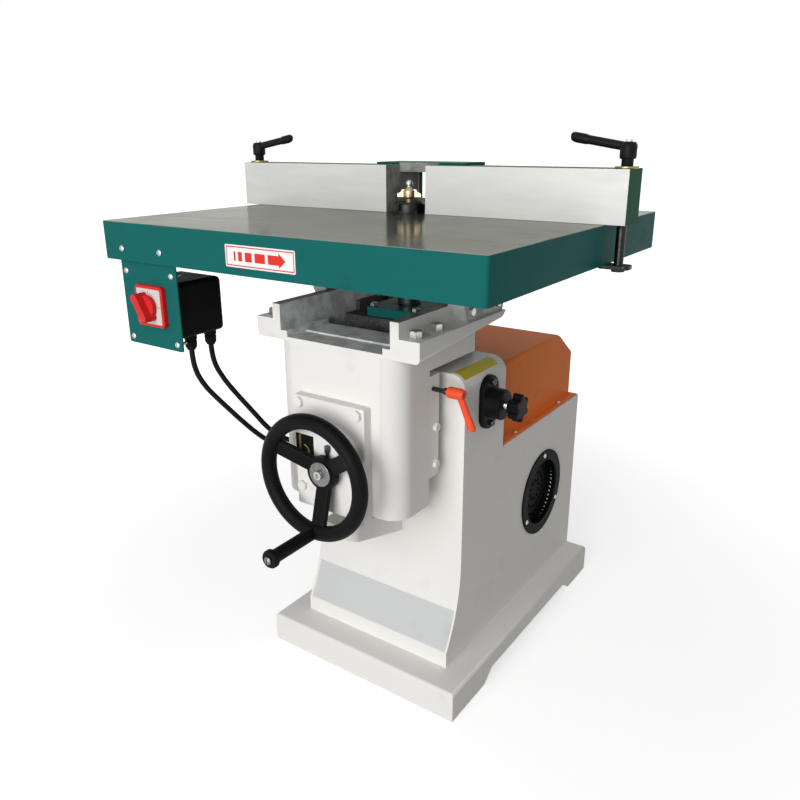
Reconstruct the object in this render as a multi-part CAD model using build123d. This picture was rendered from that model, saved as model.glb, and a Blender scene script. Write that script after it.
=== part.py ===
from build123d import *
import os
from math import asin, cos, pi, radians, sin, sqrt, tan

# Spindle moulder. Sizes are in millimetres: X to the operator's right, Y to the back, Z up.
# The floor is Z = 0, and the machine stands centred on the origin.

# Clearances
RUNNING = 0.05          # on the radius, shaft in a bore that it turns or slides in
SEAT = 0.02             # on the radius, piece fitted into a bore
SLIDING = 0.2           # between flat slides
TURNING = 0.4           # between faces that pass each other

# Fasteners
BOLT_RADIUS = 4
BOLT_FLATS = 13
BOLT_HEAD = 6
MOTOR_BOLT_HEAD = 5.5
EAR_BOLT_RADIUS = 5
EAR_BOLT_FLATS = 18
EAR_BOLT_HEAD = 12
EAR_BOLT_HOLE = 18
KEEPER_BOLT_HOLE = 20
BLIND_END = 1           # from a bolt's end to the bottom of its hole
THREAD_SHORT = 2        # from a screw's end to the far face of the wall it is in
SCREW_RADIUS = 2.5
SCREW_HEAD_RADIUS = 5
SCREW_HEAD = 3
CAP_SCREW_HEAD = 6
LOCK_SCREW_RADIUS = 3
LOCK_SCREW_HEAD_RADIUS = 5
HUB_SCREW_RADIUS = 4
HUB_SCREW_HEAD_RADIUS = 7.5
APRON_SCREW_REACH = 6
CORNER_SCREW_REACH = 15

# Pedestal base
BASE_WIDTH = 418
BASE_FRONT = 193        # from the origin to the front edge
BASE_BACK = 415         # from the origin to the back edge
BASE_HEIGHT = 58
BASE_PLATE = 20
BASE_SKIRT = 24
BASE_EDGE = 6
ARCH_MIDDLE = 122.5
ARCH_LENGTH = 395
ARCH_HEIGHT = 21.5
ARCH_SLOPE = 28

# Pedestal tower, motor compartment and spindle neck
TOWER_WIDTH = 324
TOWER_FRONT = 93
TOWER_DEPTH = 145
TOWER_HEIGHT = 602
TOWER_CORNER = 28
FLARE_RADIUS = 310
FLARE_TOP = 250
FLARE_BOTTOM = 88
COMPARTMENT_HEIGHT = 428
CASTING_WALL = 12
COMPARTMENT_LIP = 14
NECK_WIDTH = 190
NECK_MARGIN = 9
NECK_HEIGHT = 72
NECK_GUARD = 9
NECK_GUARD_GAP = 2
NECK_GUARD_RISE = 18
NECK_GUARD_LENGTH = 100

# Slideway on the tower's front
WAY_BOTTOM = 348
WAY_TOP_MARGIN = 2
WAY_ROOT = 26
WAY_HEAD = 28.8
WAY_ROOT_WIDTH = 168
WAY_HEAD_WIDTH = 200

# Spindle
SPINDLE_Y = -19
JOURNAL_RADIUS = 17.5
PULLEY_SEAT_RADIUS = 14
NOSE_RADIUS = 20
BEARING_RADIUS = 36
BEARING_WIDTH = 17
HOUSING_RADIUS = 50
HOUSING_DEPTH = 114
HOUSING_FLANGE = 16
HOUSING_SIDE = 112
HOUSING_BOLT = 44.5
HOUSING_BOLT_REACH = 20
HOUSING_BOLT_HOLE = 25
HOUSING_LIP = 4
NOSE_LENGTH = 162
NUT_RADIUS = 27
NUT_HEIGHT = 36
NUT_ABOVE_NOSE = 12
SHANK_RADIUS = 6
SHANK_DEPTH = 24
SHANK_SHOWING = 8
CUTTER_RADIUS = 20.5
CUTTER_HUB = 10
CUTTER_HEIGHT = 17
WING_THICKNESS = 5
PILOT_RADIUS = 6.2
PILOT_HEIGHT = 7
PILOT_PIN = 2.5

# Belt drive
PULLEY_BOTTOM = 455
PULLEY_FACE = 50
SPINDLE_PULLEY_RADIUS = 25
MOTOR_PULLEY_RADIUS = 80
PULLEY_RIM = 4
BELT_THICKNESS = 4
BELT_WIDTH = 40
BELT_GAP = 0.3
BELT_DOOR = 120
MOTOR_Y = 240
MOTOR_SHAFT = 14
MOTOR_RADIUS = 93
MOTOR_BORE = 60
MOTOR_WALL = 14
MOTOR_HEIGHT = 270
MOTOR_FLANGE = 12
MOTOR_FLANGE_RADIUS = 104
ROTOR_RADIUS = 56
FIN_COUNT = 20
FIN_DEPTH = 7
PLATE_DROP = 24         # motor plate below the compartment's rim
PLATE_THICKNESS = 12
PLATE_MARGIN = 31       # motor plate beyond the motor's flange
PLATE_BOLT_INSET = 20
LEDGE_WIDTH = 20
LEDGE_HEIGHT = 12

# Covers
COVER_WIDTH = 280
COVER_HEIGHT = 149
COVER_LENGTH = 359
COVER_SLOPE_LENGTH = 74
COVER_SLOPE_DROP = 53
COVER_SHEET = 2.5
COVER_FLANGE = 20
COVER_BEND = 6
VENT_Y = 242
VENT_Z = 259
VENT_RADIUS = 92
VENT_DISH_RADIUS = 70
VENT_DISH = 18
VENT_SHEET = 3
VENT_HOLE = 2.3
VENT_HOLES = 48

# Spindle lock
LOCK_FLANGE_HEIGHT = 97
LOCK_FLANGE_WIDTH = 55
LOCK_FLANGE = 10
LOCK_SCREW_SPACING = 75
LOCK_HUB_RADIUS = 27
LOCK_HUB = 27
LOCK_PIN_RADIUS = 8
LOCK_TRAVEL = 7
LOCK_COLLAR_RADIUS = 36
LOCK_COLLAR = 20
COLLAR_ABOVE_PULLEY = 23
LOCK_NECK_RADIUS = 12
LOCK_KNOB_RADIUS = 25
LOCK_KNOB = 25
LOCK_LOBES = 6

# Carriage
CARRIAGE_WIDTH = 254
COLUMN_DEPTH = 87
COLUMN_CORNER = 38
COLUMN_WALL = 15
COLUMN_BELOW_SHAFT = 73
EAR_TOP = 690
EAR_WIDTH = 37
EAR_FRONT = 34
EAR_BACK = 14
EAR_LENGTH = 272
EAR_END_SLANT = 14
EAR_CORNER = 8
CHANNEL_WALL = 16
CHANNEL_WALL_RISE = 26
CHANNEL_FLOOR_DROP = 28
CHANNEL_LEDGE = 14
CHANNEL_LEDGE_RISE = 10
FLOOR_THICKNESS = 24
FLOOR_LENGTH = 120
FLOOR_STEP = 46
FLOOR_STEP_RISE = 3
FLOOR_SLOT_WIDTH = 206
FLOOR_SLOT_DEPTH = 30
FLOOR_SLOT_CORNER = 12
ARM_LENGTH = 232
ARM_DROP = 70
JAW_BOTTOM = 430
JAW_HEIGHT = 179
PAD_WIDTH = 45
PAD_DEPTH = 16
WEB_THICKNESS = 16

# Handwheel drive
SHAFT_Z = 455
SHAFT_RADIUS = 10
BUSH_WALL = 5
GEAR_WINDOW_WIDTH = 96
GEAR_WINDOW_HEIGHT = 140
GEAR_COVER_WIDTH = 146
GEAR_COVER_BOTTOM = 375
GEAR_COVER_HEIGHT = 198
GEAR_COVER = 18
GEAR_COVER_CORNER = 3.5
GEAR_COVER_BOLT_RADIUS = 4
GEAR_COVER_BOLT_FLATS = 16
GEAR_COVER_BOLT_HEAD = 6
GEAR_COVER_BOSS_RADIUS = 22
GEAR_COVER_BOSS = 10
GEAR_PITCH_RADIUS = 30
GEAR_FACE = 12
GEAR_TEETH = 20
TOOTH_DEPTH = 3.5
LIFT_SCREW_RADIUS = 11
LIFT_SCREW_LENGTH = 280
LIFT_SCREW_SEAT = 36
NUT_HUB_RADIUS = 17
NUT_FLANGE_RADIUS = 26
NUT_FLANGE = 10
BRACKET_WIDTH = 70
BRACKET_TOP = 344
BRACKET_LENGTH = 144
BRACKET_FRONT = 24
BRACKET_ROOT = 64
HUB_RADIUS = 29
HUB_LENGTH = 12
WHEEL_RADIUS = 96
RIM_RADIUS = 13
RIM_SIDES = 24
RIM_FORWARD = 20
SPOKE_WIDTH = 27
SPOKE_THICKNESS = 11
SPOKES = 3
SPOKE_TURN = 4
WASHER_RADIUS = 21.5
WASHER = 4
GRIP_RADIUS = 11
GRIP_END_RADIUS = 15
GRIP_LENGTH = 93
GRIP_BOLT_RADIUS = 4
GRIP_BOSS = 3
SHAFT_LOCK_RADIUS = 3
SHAFT_LOCK_STAND = 10
SHAFT_LOCK_HEAD_RADIUS = 4.5
SHAFT_LOCK_HEAD = 11
SHAFT_LOCK_FLUTES = 12

# Keeper and lift lock
KEEPER_BOLT_Z = (452, 518)
LIFT_LOCK_Z = 587
LIFT_LOCK_FROM_FACE = 10
LIFT_LOCK_STUD = 4
LIFT_LOCK_COLLAR_RADIUS = 6
LIFT_LOCK_COLLAR = 7
LIFT_LOCK_STAND = 29
LIFT_LEVER_HUB = 9.5
LIFT_LEVER_HEIGHT = 29
LIFT_LEVER_REACH = 64
LIFT_LEVER_RISE = 18.5
LIFT_LEVER_HANDLE = 14.5

# Saddles and table
SADDLE_WIDTH = 30
SADDLE_HEIGHT = 100
SADDLE_FRONT = -84
SADDLE_LENGTH = 121
SADDLE_LEAN = 47
SADDLE_BOLT_RISE = 16
TABLE_WIDTH = 700
TABLE_DEPTH = 600
TABLE_FRONT = 383
TABLE_APRON = 60
TABLE_PLATE = 14
APRON_WALL = 10
TABLE_CORNER = 6
TABLE_BORE = 32
TABLE_BOSS = 58
BOSS_HEIGHT = 36
PAD_MARGIN = 6
RIB = 10
RIB_HEIGHT = 40

# Switch
SWITCH_PLATE_X = -258
SWITCH_PLATE_WIDTH = 133
SWITCH_PLATE_DROP = 138
SWITCH_PLATE_LAP = 38
SWITCH_PLATE = 2
SWITCH_X = -253
SWITCH_BELOW_TABLE = 69
BEZEL_WIDTH = 66
BEZEL_HEIGHT = 66
BEZEL = 9
BEZEL_BORDER = 5
FACE_RECESS = 0.6
BOX_WIDTH = 100
BOX_HEIGHT = 90
BOX_DEPTH = 100
BOX_CORNER = 8
GLAND_RADIUS = 10.5
GLAND = 26
KNOB_RADIUS = 18.5
KNOB_BASE = 8
KNOB_BAR = 48
KNOB_BAR_WIDTH = 14
KNOB_BAR_DEPTH = 14
KNOB_TILT = 30
CABLE_RADIUS = 4.5
# Shares of the way across and of the way down that the cables have made at each bend
CABLE_RUN = ((0, 0.14), (0.105, 0.32), (0.28, 0.49), (0.47, 0.665), (0.65, 0.825), (0.83, 0.935))
GROMMET_RADIUS = 12
GROMMET = 9
PLATE_SCREW_SPACING = 109

# Fence and clamps
FENCE_DEPTH = 57
FENCE_HEIGHT = 78
FENCE_AHEAD = 12        # from the spindle axis to the fence's face
FENCE_WALL = 13
FENCE_RIB = 12
FENCE_END = 36
THROAT = 80
THROAT_DEPTH = 42
HOOD_WIDTH = 180
HOOD_DEPTH = 55
HOOD_WALL = 12
HOOD_ROOF = 16
HOOD_RISE = 3.5
OUTLET_WIDTH = 76
OUTLET_SILL = 17
ROD_RADIUS = 7
ROD_INSET = 14
ROD_CLEARANCE = 9       # from the table's edge to a clamp rod
FOOT_LENGTH = 48
FOOT_WIDTH = 28
FOOT_INWARD = 29
FOOT = 6
CLAMP_WASHER_RADIUS = 17
CLAMP_WASHER = 3
CLAMP_STEM_RADIUS = 8.6
CLAMP_STEM = 9.7
CLAMP_HUB_RADIUS = 12
CLAMP_HUB = 23
CLAMP_REACH = 87
CLAMP_RISE = 15
CLAMP_HANDLE = 15

# Places that follow from the sizes
TOWER_SIDE = TOWER_WIDTH / 2
TOWER_BACK = TOWER_DEPTH - TOWER_FRONT
WAY_FRONT = -TOWER_FRONT - WAY_ROOT - WAY_HEAD
COLUMN_BACK = WAY_FRONT - SLIDING
COLUMN_FRONT = COLUMN_BACK - COLUMN_DEPTH
COLUMN_BOTTOM = SHAFT_Z - COLUMN_BELOW_SHAFT
CARRIAGE_SIDE = CARRIAGE_WIDTH / 2
CHANNEL_SIDE = CARRIAGE_SIDE - CHANNEL_WALL
CHANNEL_TOP = EAR_TOP + CHANNEL_WALL_RISE
CHANNEL_FLOOR = EAR_TOP - CHANNEL_FLOOR_DROP
EAR_BOTTOM = EAR_TOP - EAR_FRONT
SCREW_Y = COLUMN_BACK - COLUMN_DEPTH / 2 + 7
COVER_FRONT = COLUMN_FRONT - GEAR_COVER
HUB_BACK = COVER_FRONT - GEAR_COVER_BOSS - 2 * TURNING
HUB_FRONT = HUB_BACK - HUB_LENGTH
RIM_Y = HUB_FRONT - RIM_FORWARD
GRIP_Z = SHAFT_Z - WHEEL_RADIUS
GRIP_ROOT = RIM_Y - RIM_RADIUS - GRIP_BOSS
WEB_TOP = SHAFT_Z - GEAR_PITCH_RADIUS - 10
WEB_BOTTOM = WEB_TOP - WEB_THICKNESS
TABLE_BOTTOM = EAR_TOP + SADDLE_HEIGHT
TABLE_TOP = TABLE_BOTTOM + TABLE_APRON
SADDLE_SIDE = CARRIAGE_SIDE + SADDLE_WIDTH
HOUSING_SEAT = TOWER_HEIGHT + NECK_HEIGHT
HOUSING_TOP = HOUSING_SEAT + HOUSING_FLANGE
HOUSING_BOTTOM = HOUSING_SEAT - HOUSING_DEPTH
UPPER_BEARING = HOUSING_TOP - HOUSING_LIP - BEARING_WIDTH
LOWER_BEARING = HOUSING_BOTTOM + HOUSING_LIP
NOSE_TOP = HOUSING_TOP + HOUSING_LIP + NOSE_LENGTH
NUT_TOP = NOSE_TOP + NUT_ABOVE_NOSE
CUTTER_BOTTOM = NUT_TOP + SHANK_SHOWING
CUTTER_TOP = CUTTER_BOTTOM + CUTTER_HEIGHT
PULLEY_TOP = PULLEY_BOTTOM + PULLEY_FACE
COLLAR_BOTTOM = PULLEY_TOP + COLLAR_ABOVE_PULLEY
COLLAR_TOP = COLLAR_BOTTOM + LOCK_COLLAR
LOCK_Z = COLLAR_BOTTOM + LOCK_COLLAR / 2
PLATE_TOP = COMPARTMENT_HEIGHT - PLATE_DROP
MOTOR_TOP = PLATE_TOP - PLATE_THICKNESS
MOTOR_BOTTOM = MOTOR_TOP - MOTOR_HEIGHT
SWITCH_PLATE_Y = -TABLE_FRONT + APRON_WALL
BOX_FRONT = SWITCH_PLATE_Y + SWITCH_PLATE
SWITCH_Z = TABLE_BOTTOM - SWITCH_BELOW_TABLE
BOX_TOP = SWITCH_Z + BOX_HEIGHT * 0.42
BOX_BOTTOM = BOX_TOP - BOX_HEIGHT
BOX_RIGHT = SWITCH_PLATE_X + BOX_WIDTH / 2 + 4
GLAND_X = BOX_RIGHT - 2 * GLAND_RADIUS
GLAND_Y = (BOX_FRONT + 0.42 * BOX_DEPTH, BOX_FRONT + 0.84 * BOX_DEPTH)
GLAND_BOTTOM = BOX_BOTTOM - GLAND
GROMMET_Y = COLUMN_BACK - 0.54 * COLUMN_DEPTH
GROMMET_Z = (SHAFT_Z - 26, SHAFT_Z - 1)
FENCE_FACE = SPINDLE_Y - FENCE_AHEAD
FENCE_BACK = FENCE_FACE + FENCE_DEPTH
FENCE_BOTTOM = TABLE_TOP + SLIDING
FENCE_TOP = FENCE_BOTTOM + FENCE_HEIGHT
HOOD_BACK = FENCE_BACK + HOOD_DEPTH
HOOD_TOP = FENCE_TOP + HOOD_RISE
ROD_X = TABLE_WIDTH / 2 + ROD_CLEARANCE + ROD_RADIUS
FENCE_LENGTH = 2 * (ROD_X + ROD_INSET)
ROD_Y = FENCE_FACE + FENCE_DEPTH / 2
LEVER_BOTTOM = FENCE_TOP + CLAMP_WASHER + TURNING


def block(x, y, z):
    """A box between two limits on each axis."""
    limits = (x, y, z)
    middle = [(low + high) / 2 for low, high in limits]
    return Pos(*middle) * Box(*[high - low for low, high in limits])


def sides(half):
    """Limits that lie evenly about zero."""
    return (-half, half)


def facing(origin, direction, shape):
    """A shape whose own Z axis is laid along a direction."""
    return Plane(origin=origin, z_dir=direction) * shape


def rod(radius, start, direction, length):
    cylinder = Cylinder(radius, length, align=(Align.CENTER, Align.CENTER, Align.MIN))
    return facing(start, direction, cylinder)


def turned(profile, origin=(0, 0, 0), direction=(0, 0, 1)):
    """A turned piece from its profile of radius and height."""
    outline = Polyline(*[(radius, 0, height) for radius, height in profile], close=True)
    return facing(origin, direction, revolve(make_face(outline), Axis.Z))


def prism_x(outline, x):
    """An outline of Y and Z points, drawn out between two X limits."""
    face = make_face(Polyline(*[(x[0], y, z) for y, z in outline], close=True))
    return extrude(face, amount=x[1] - x[0], dir=(1, 0, 0))


def prism_y(outline, y):
    """An outline of X and Z points, drawn out between two Y limits."""
    face = make_face(Polyline(*[(x, y[0], z) for x, z in outline], close=True))
    return extrude(face, amount=y[1] - y[0], dir=(0, 1, 0))


def prism_z(outline, z):
    """An outline of X and Y points, drawn out between two Z limits."""
    face = make_face(Polyline(*[(x, y, z[0]) for x, y in outline], close=True))
    return extrude(face, amount=z[1] - z[0], dir=(0, 0, 1))


def mirrored(shape):
    """The same shape on the other side of the machine."""
    return mirror(shape, about=Plane.YZ)


def hex_bolt(across, head, radius, length):
    """A hexagon bolt, its head standing on Z = 0 and its shank below."""
    flats = across / 2
    corner = flats / cos(pi / 6)
    hexagon = extrude(RegularPolygon(flats, 6, major_radius=False), head)
    top = turned([(0, 0), (corner, 0), (corner, 0.8 * head), (flats, head), (0, head)])
    return (hexagon & top) + rod(radius, (0, 0, -length), (0, 0, 1), length)


def slotted_screw(head_radius, head, radius, length):
    """A round-headed screw with a slot, its head standing on Z = 0."""
    crown = [(head_radius, 0), (head_radius, 0.4 * head), (0.6 * head_radius, head), (0, head)]
    body = turned([(0, -length), (radius, -length), (radius, 0)] + crown)
    slot = block(sides(head_radius), sides(0.12 * head_radius), (0.6 * head, 2 * head))
    return body - slot


def panel_screw(length):
    return slotted_screw(SCREW_HEAD_RADIUS, SCREW_HEAD, SCREW_RADIUS, length)


def socket_screw(head_radius, head, radius, length):
    """A cap screw with a hexagon socket, its head standing on Z = 0."""
    shank = [(0, -length), (radius, -length), (radius, 0)]
    body = turned(shank + [(head_radius, 0), (head_radius, head), (0, head)])
    socket = extrude(RegularPolygon(0.5 * head_radius, 6), head)
    return body - Pos(0, 0, 0.4 * head) * socket


def clamp_handle(hub_radius, hub_height, reach, rise, width):
    """A clamping lever: a hub on Z = 0 and a handle that leaves it along +X and rises."""
    middle = 0.7 * hub_height
    hub = turned([
        (0, 0), (0.9 * hub_radius, 0), (hub_radius, 0.1 * hub_height),
        (hub_radius, 0.8 * hub_height), (0.8 * hub_radius, hub_height), (0, hub_height),
    ])
    # The handle is a straight bar with a shoulder before its thicker end.
    stations = [(0.0, 0.86), (0.68, 0.86), (0.75, 1.0), (0.93, 1.0), (0.985, 0.8), (1.0, 0.5)]
    sections = []
    for share, swell in stations:
        place = Plane(
            origin=(share * reach, 0, middle + share * rise), x_dir=(0, 1, 0), z_dir=(1, 0, 0)
        )
        sections.append(place * Ellipse(0.46 * width * swell, 0.5 * width * swell))
    return hub + loft(sections, ruled=True)


def bevel_gear(bore):
    """A mitre gear with its pitch cone's apex at the origin, its back towards -Z."""
    back = -GEAR_PITCH_RADIUS
    front = back + GEAR_FACE
    root_back = GEAR_PITCH_RADIUS - TOOTH_DEPTH
    root_front = GEAR_PITCH_RADIUS - GEAR_FACE - TOOTH_DEPTH
    blank = turned([
        (bore, back - 4), (root_back, back - 4), (root_back, back),
        (root_front, front), (bore, front),
    ])
    # Each tooth runs along the cone and stays just inside the pitch surface.
    root_width = 0.5 * pi * GEAR_PITCH_RADIUS / GEAR_TEETH
    teeth = []
    for index in range(GEAR_TEETH):
        tooth = prism_y(
            [
                (root_back - 1, back), (GEAR_PITCH_RADIUS - TURNING, back),
                (GEAR_PITCH_RADIUS - GEAR_FACE - TURNING, front), (root_front - 1, front),
            ],
            sides(root_width / 2),
        )
        teeth.append(Rot(0, 0, 360 / GEAR_TEETH * index) * tooth)
    return blank + teeth


# Pedestal


def pedestal_outline():
    """The side outline of tower and compartment, with the flare at the tower's foot."""
    front = -TOWER_FRONT
    drop = FLARE_TOP - FLARE_BOTTOM

    def flare(depth):
        return front - FLARE_RADIUS + sqrt(FLARE_RADIUS ** 2 - depth ** 2)

    foot = (flare(drop), FLARE_BOTTOM)
    middle = (flare(drop / 2), FLARE_TOP - drop / 2)
    top = (front, FLARE_TOP)
    under = (foot[0], BASE_HEIGHT)
    arc = ThreePointArc(foot, middle, top)
    rest = Polyline(
        top, (front, TOWER_HEIGHT), (TOWER_BACK, TOWER_HEIGHT), (TOWER_BACK, COMPARTMENT_HEIGHT),
        (BASE_BACK, COMPARTMENT_HEIGHT), (BASE_BACK, under[1]), under, foot,
    )
    return make_face([arc, rest])


def pedestal_base():
    """Cast foot: a plate with a skirt, hollow below, and an arch between its feet."""
    base = block(sides(BASE_WIDTH / 2), (-BASE_FRONT, BASE_BACK), (0, BASE_HEIGHT))
    base = fillet(base.edges().group_by(Axis.Z)[-1].sort_by(Axis.Y)[:-1], BASE_EDGE)
    base -= block(
        sides(BASE_WIDTH / 2 - BASE_SKIRT),
        (-BASE_FRONT + BASE_SKIRT, BASE_BACK - BASE_SKIRT),
        (0, BASE_HEIGHT - BASE_PLATE),
    )
    arch_front = ARCH_MIDDLE - ARCH_LENGTH / 2
    arch_back = ARCH_MIDDLE + ARCH_LENGTH / 2
    return base - prism_x(
        [
            (arch_front, 0), (arch_front + ARCH_SLOPE, ARCH_HEIGHT),
            (arch_back - ARCH_SLOPE, ARCH_HEIGHT), (arch_back, 0),
        ],
        sides(BASE_WIDTH / 2),
    )


def pedestal():
    """Cast tower and motor compartment in one, open below, where it stands on the base."""
    shell = extrude(Plane.YZ * pedestal_outline(), amount=TOWER_SIDE, both=True)
    shell = fillet(shell.edges().filter_by(Axis.Y).sort_by(Axis.Z)[-2:], TOWER_CORNER)
    inner = sides(TOWER_SIDE - CASTING_WALL)
    tower_inner_back = TOWER_BACK - CASTING_WALL
    lip_bottom = COMPARTMENT_HEIGHT - COMPARTMENT_LIP
    compartment_back = BASE_BACK - CASTING_WALL
    tower_room = block(
        inner, (-TOWER_FRONT + CASTING_WALL, tower_inner_back), (BASE_HEIGHT, TOWER_HEIGHT - CASTING_WALL)
    )
    motor_room = block(inner, (tower_inner_back, compartment_back), (BASE_HEIGHT, lip_bottom))
    mouth = block(
        sides(TOWER_SIDE - CASTING_WALL - COMPARTMENT_LIP),
        (TOWER_BACK, compartment_back - COMPARTMENT_LIP),
        (lip_bottom, COMPARTMENT_HEIGHT),
    )
    belt_door = block(
        sides(BELT_DOOR / 2),
        (tower_inner_back, TOWER_BACK),
        (PULLEY_BOTTOM - 2 * PULLEY_RIM, PULLEY_TOP + 2 * PULLEY_RIM),
    )
    body = shell - tower_room - motor_room - mouth - belt_door

    # Neck for the spindle housing, with a chip guard round its back and sides
    half = NECK_WIDTH / 2
    neck_front = SPINDLE_Y - HOUSING_SIDE / 2 - NECK_MARGIN
    guard_front = SPINDLE_Y + HOUSING_SIDE / 2 + NECK_GUARD_GAP
    neck_back = guard_front + NECK_GUARD
    body += block(sides(half), (neck_front, neck_back), (TOWER_HEIGHT - 1, HOUSING_SEAT))
    guard_top = HOUSING_SEAT + NECK_GUARD_RISE
    guard = block(sides(half), (neck_back - NECK_GUARD_LENGTH, neck_back), (HOUSING_SEAT - 1, guard_top))
    guard -= block(
        sides(half - NECK_GUARD),
        (neck_back - NECK_GUARD_LENGTH, guard_front),
        (HOUSING_SEAT - 1, guard_top),
    )
    body += guard
    body -= rod(HOUSING_RADIUS + SEAT, (0, SPINDLE_Y, HOUSING_BOTTOM), (0, 0, 1), HOUSING_DEPTH)
    for x, y in housing_bolt_places():
        bottom = HOUSING_SEAT - HOUSING_BOLT_HOLE
        body -= rod(BOLT_RADIUS + SEAT, (x, y, bottom), (0, 0, 1), HOUSING_BOLT_HOLE)

    # Dovetail slideway
    root = WAY_ROOT_WIDTH / 2
    head = WAY_HEAD_WIDTH / 2
    way_root = -TOWER_FRONT - WAY_ROOT
    body += prism_z(
        [
            (-root, -TOWER_FRONT + 1), (-root, way_root), (-head, WAY_FRONT),
            (head, WAY_FRONT), (root, way_root), (root, -TOWER_FRONT + 1),
        ],
        (WAY_BOTTOM, TOWER_HEIGHT - WAY_TOP_MARGIN),
    )

    # Ledges that carry the motor plate
    for side in (-1, 1):
        wall = side * (TOWER_SIDE - CASTING_WALL + 1)
        edge = wall - side * (LEDGE_WIDTH + 1)
        body += block(
            sorted((wall, edge)), motor_plate_limits(), (MOTOR_TOP - LEDGE_HEIGHT, MOTOR_TOP)
        )
    for x, y in motor_plate_bolts():
        body -= rod(BOLT_RADIUS + SEAT, (x, y, MOTOR_TOP - LEDGE_HEIGHT), (0, 0, 1), LEDGE_HEIGHT)

    # Openings in the right wall and the threaded holes of what is screwed to the casting
    wall_start = TOWER_SIDE - CASTING_WALL
    vent_hole = VENT_DISH_RADIUS + VENT_SHEET + TURNING
    body -= rod(vent_hole, (wall_start, VENT_Y, VENT_Z), (1, 0, 0), CASTING_WALL)
    body -= rod(LOCK_PIN_RADIUS + 2, (wall_start, SPINDLE_Y, LOCK_Z), (1, 0, 0), CASTING_WALL)
    for z in lock_screw_heights():
        body -= rod(LOCK_SCREW_RADIUS + SEAT, (wall_start, SPINDLE_Y, z), (1, 0, 0), CASTING_WALL)
    for y, z in vent_screw_places():
        body -= rod(SCREW_RADIUS + SEAT, (wall_start, y, z), (1, 0, 0), CASTING_WALL)
    for x, y in cover_screw_places():
        body -= rod(SCREW_RADIUS + SEAT, (x, y, lip_bottom), (0, 0, 1), COMPARTMENT_LIP)
    return body


def housing_bolt_places():
    return [
        (x * HOUSING_BOLT, SPINDLE_Y + y * HOUSING_BOLT) for x in (-1, 1) for y in (-1, 1)
    ]


def motor_plate_limits():
    reach = MOTOR_FLANGE_RADIUS + PLATE_MARGIN
    return (MOTOR_Y - reach, MOTOR_Y + reach)


def motor_plate_bolts():
    x = TOWER_SIDE - CASTING_WALL - LEDGE_WIDTH / 2
    near, far = motor_plate_limits()
    return [(side * x, y) for side in (-1, 1) for y in (near + PLATE_BOLT_INSET, far - PLATE_BOLT_INSET)]


def lock_screw_heights():
    return (LOCK_Z - LOCK_SCREW_SPACING / 2, LOCK_Z + LOCK_SCREW_SPACING / 2)


def vent_screw_places():
    radius = (VENT_DISH_RADIUS + VENT_SHEET + VENT_RADIUS) / 2
    return [
        (VENT_Y + radius * cos(radians(angle)), VENT_Z + radius * sin(radians(angle)))
        for angle in (90, 210, 330)
    ]


def cover_screw_places():
    x = COVER_WIDTH / 2 + COVER_FLANGE / 2
    near = TOWER_BACK + 0.2 * COVER_LENGTH
    far = TOWER_BACK + 0.78 * COVER_LENGTH
    return [(side * x, y) for side in (-1, 1) for y in (near, far)]


def lift_bracket():
    """Bracket on the tower's front that holds the foot of the lift screw."""
    root = -TOWER_FRONT
    front = root - BRACKET_LENGTH
    body = prism_x(
        [
            (root, BRACKET_TOP), (front, BRACKET_TOP), (front, BRACKET_TOP - BRACKET_FRONT),
            (root, BRACKET_TOP - BRACKET_ROOT),
        ],
        sides(BRACKET_WIDTH / 2),
    )
    body = fillet(body.edges().filter_by(Axis.Z).group_by(Axis.Y)[0], BRACKET_WIDTH / 5)
    hole = rod(
        LIFT_SCREW_RADIUS + SEAT, (0, SCREW_Y, BRACKET_TOP - LIFT_SCREW_SEAT), (0, 0, 1), LIFT_SCREW_SEAT
    )
    return body - hole


def lift_screw():
    collar = LIFT_SCREW_RADIUS + 6
    bottom = BRACKET_TOP - LIFT_SCREW_SEAT
    return turned(
        [
            (0, bottom), (LIFT_SCREW_RADIUS, bottom), (LIFT_SCREW_RADIUS, BRACKET_TOP),
            (collar, BRACKET_TOP), (collar, BRACKET_TOP + 5), (LIFT_SCREW_RADIUS, BRACKET_TOP + 5),
            (LIFT_SCREW_RADIUS, bottom + LIFT_SCREW_LENGTH), (0, bottom + LIFT_SCREW_LENGTH),
        ],
        (0, SCREW_Y, 0),
    )


# Spindle and its housing


def spindle_housing():
    half = HOUSING_SIDE / 2
    flange = block(sides(half), (SPINDLE_Y - half, SPINDLE_Y + half), (HOUSING_SEAT, HOUSING_TOP))
    flange = fillet(flange.edges().filter_by(Axis.Z), HOUSING_SIDE / 14)
    barrel = rod(HOUSING_RADIUS, (0, SPINDLE_Y, HOUSING_BOTTOM), (0, 0, 1), HOUSING_DEPTH)
    bore = turned(
        [
            (0, HOUSING_BOTTOM), (BEARING_RADIUS - 4, HOUSING_BOTTOM),
            (BEARING_RADIUS - 4, LOWER_BEARING), (BEARING_RADIUS + SEAT, LOWER_BEARING),
            (BEARING_RADIUS + SEAT, UPPER_BEARING + BEARING_WIDTH),
            (JOURNAL_RADIUS + 4, UPPER_BEARING + BEARING_WIDTH), (JOURNAL_RADIUS + 4, HOUSING_TOP),
            (0, HOUSING_TOP),
        ],
        (0, SPINDLE_Y, 0),
    )
    body = flange + barrel - bore
    for x, y in housing_bolt_places():
        body -= rod(BOLT_RADIUS + SEAT, (x, y, HOUSING_SEAT), (0, 0, 1), HOUSING_FLANGE)
    return body


def spindle_housing_bolts():
    bolt = hex_bolt(BOLT_FLATS, BOLT_HEAD, BOLT_RADIUS, HOUSING_FLANGE + HOUSING_BOLT_REACH)
    return Compound([Pos(x, y, HOUSING_TOP) * bolt for x, y in housing_bolt_places()])


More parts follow.
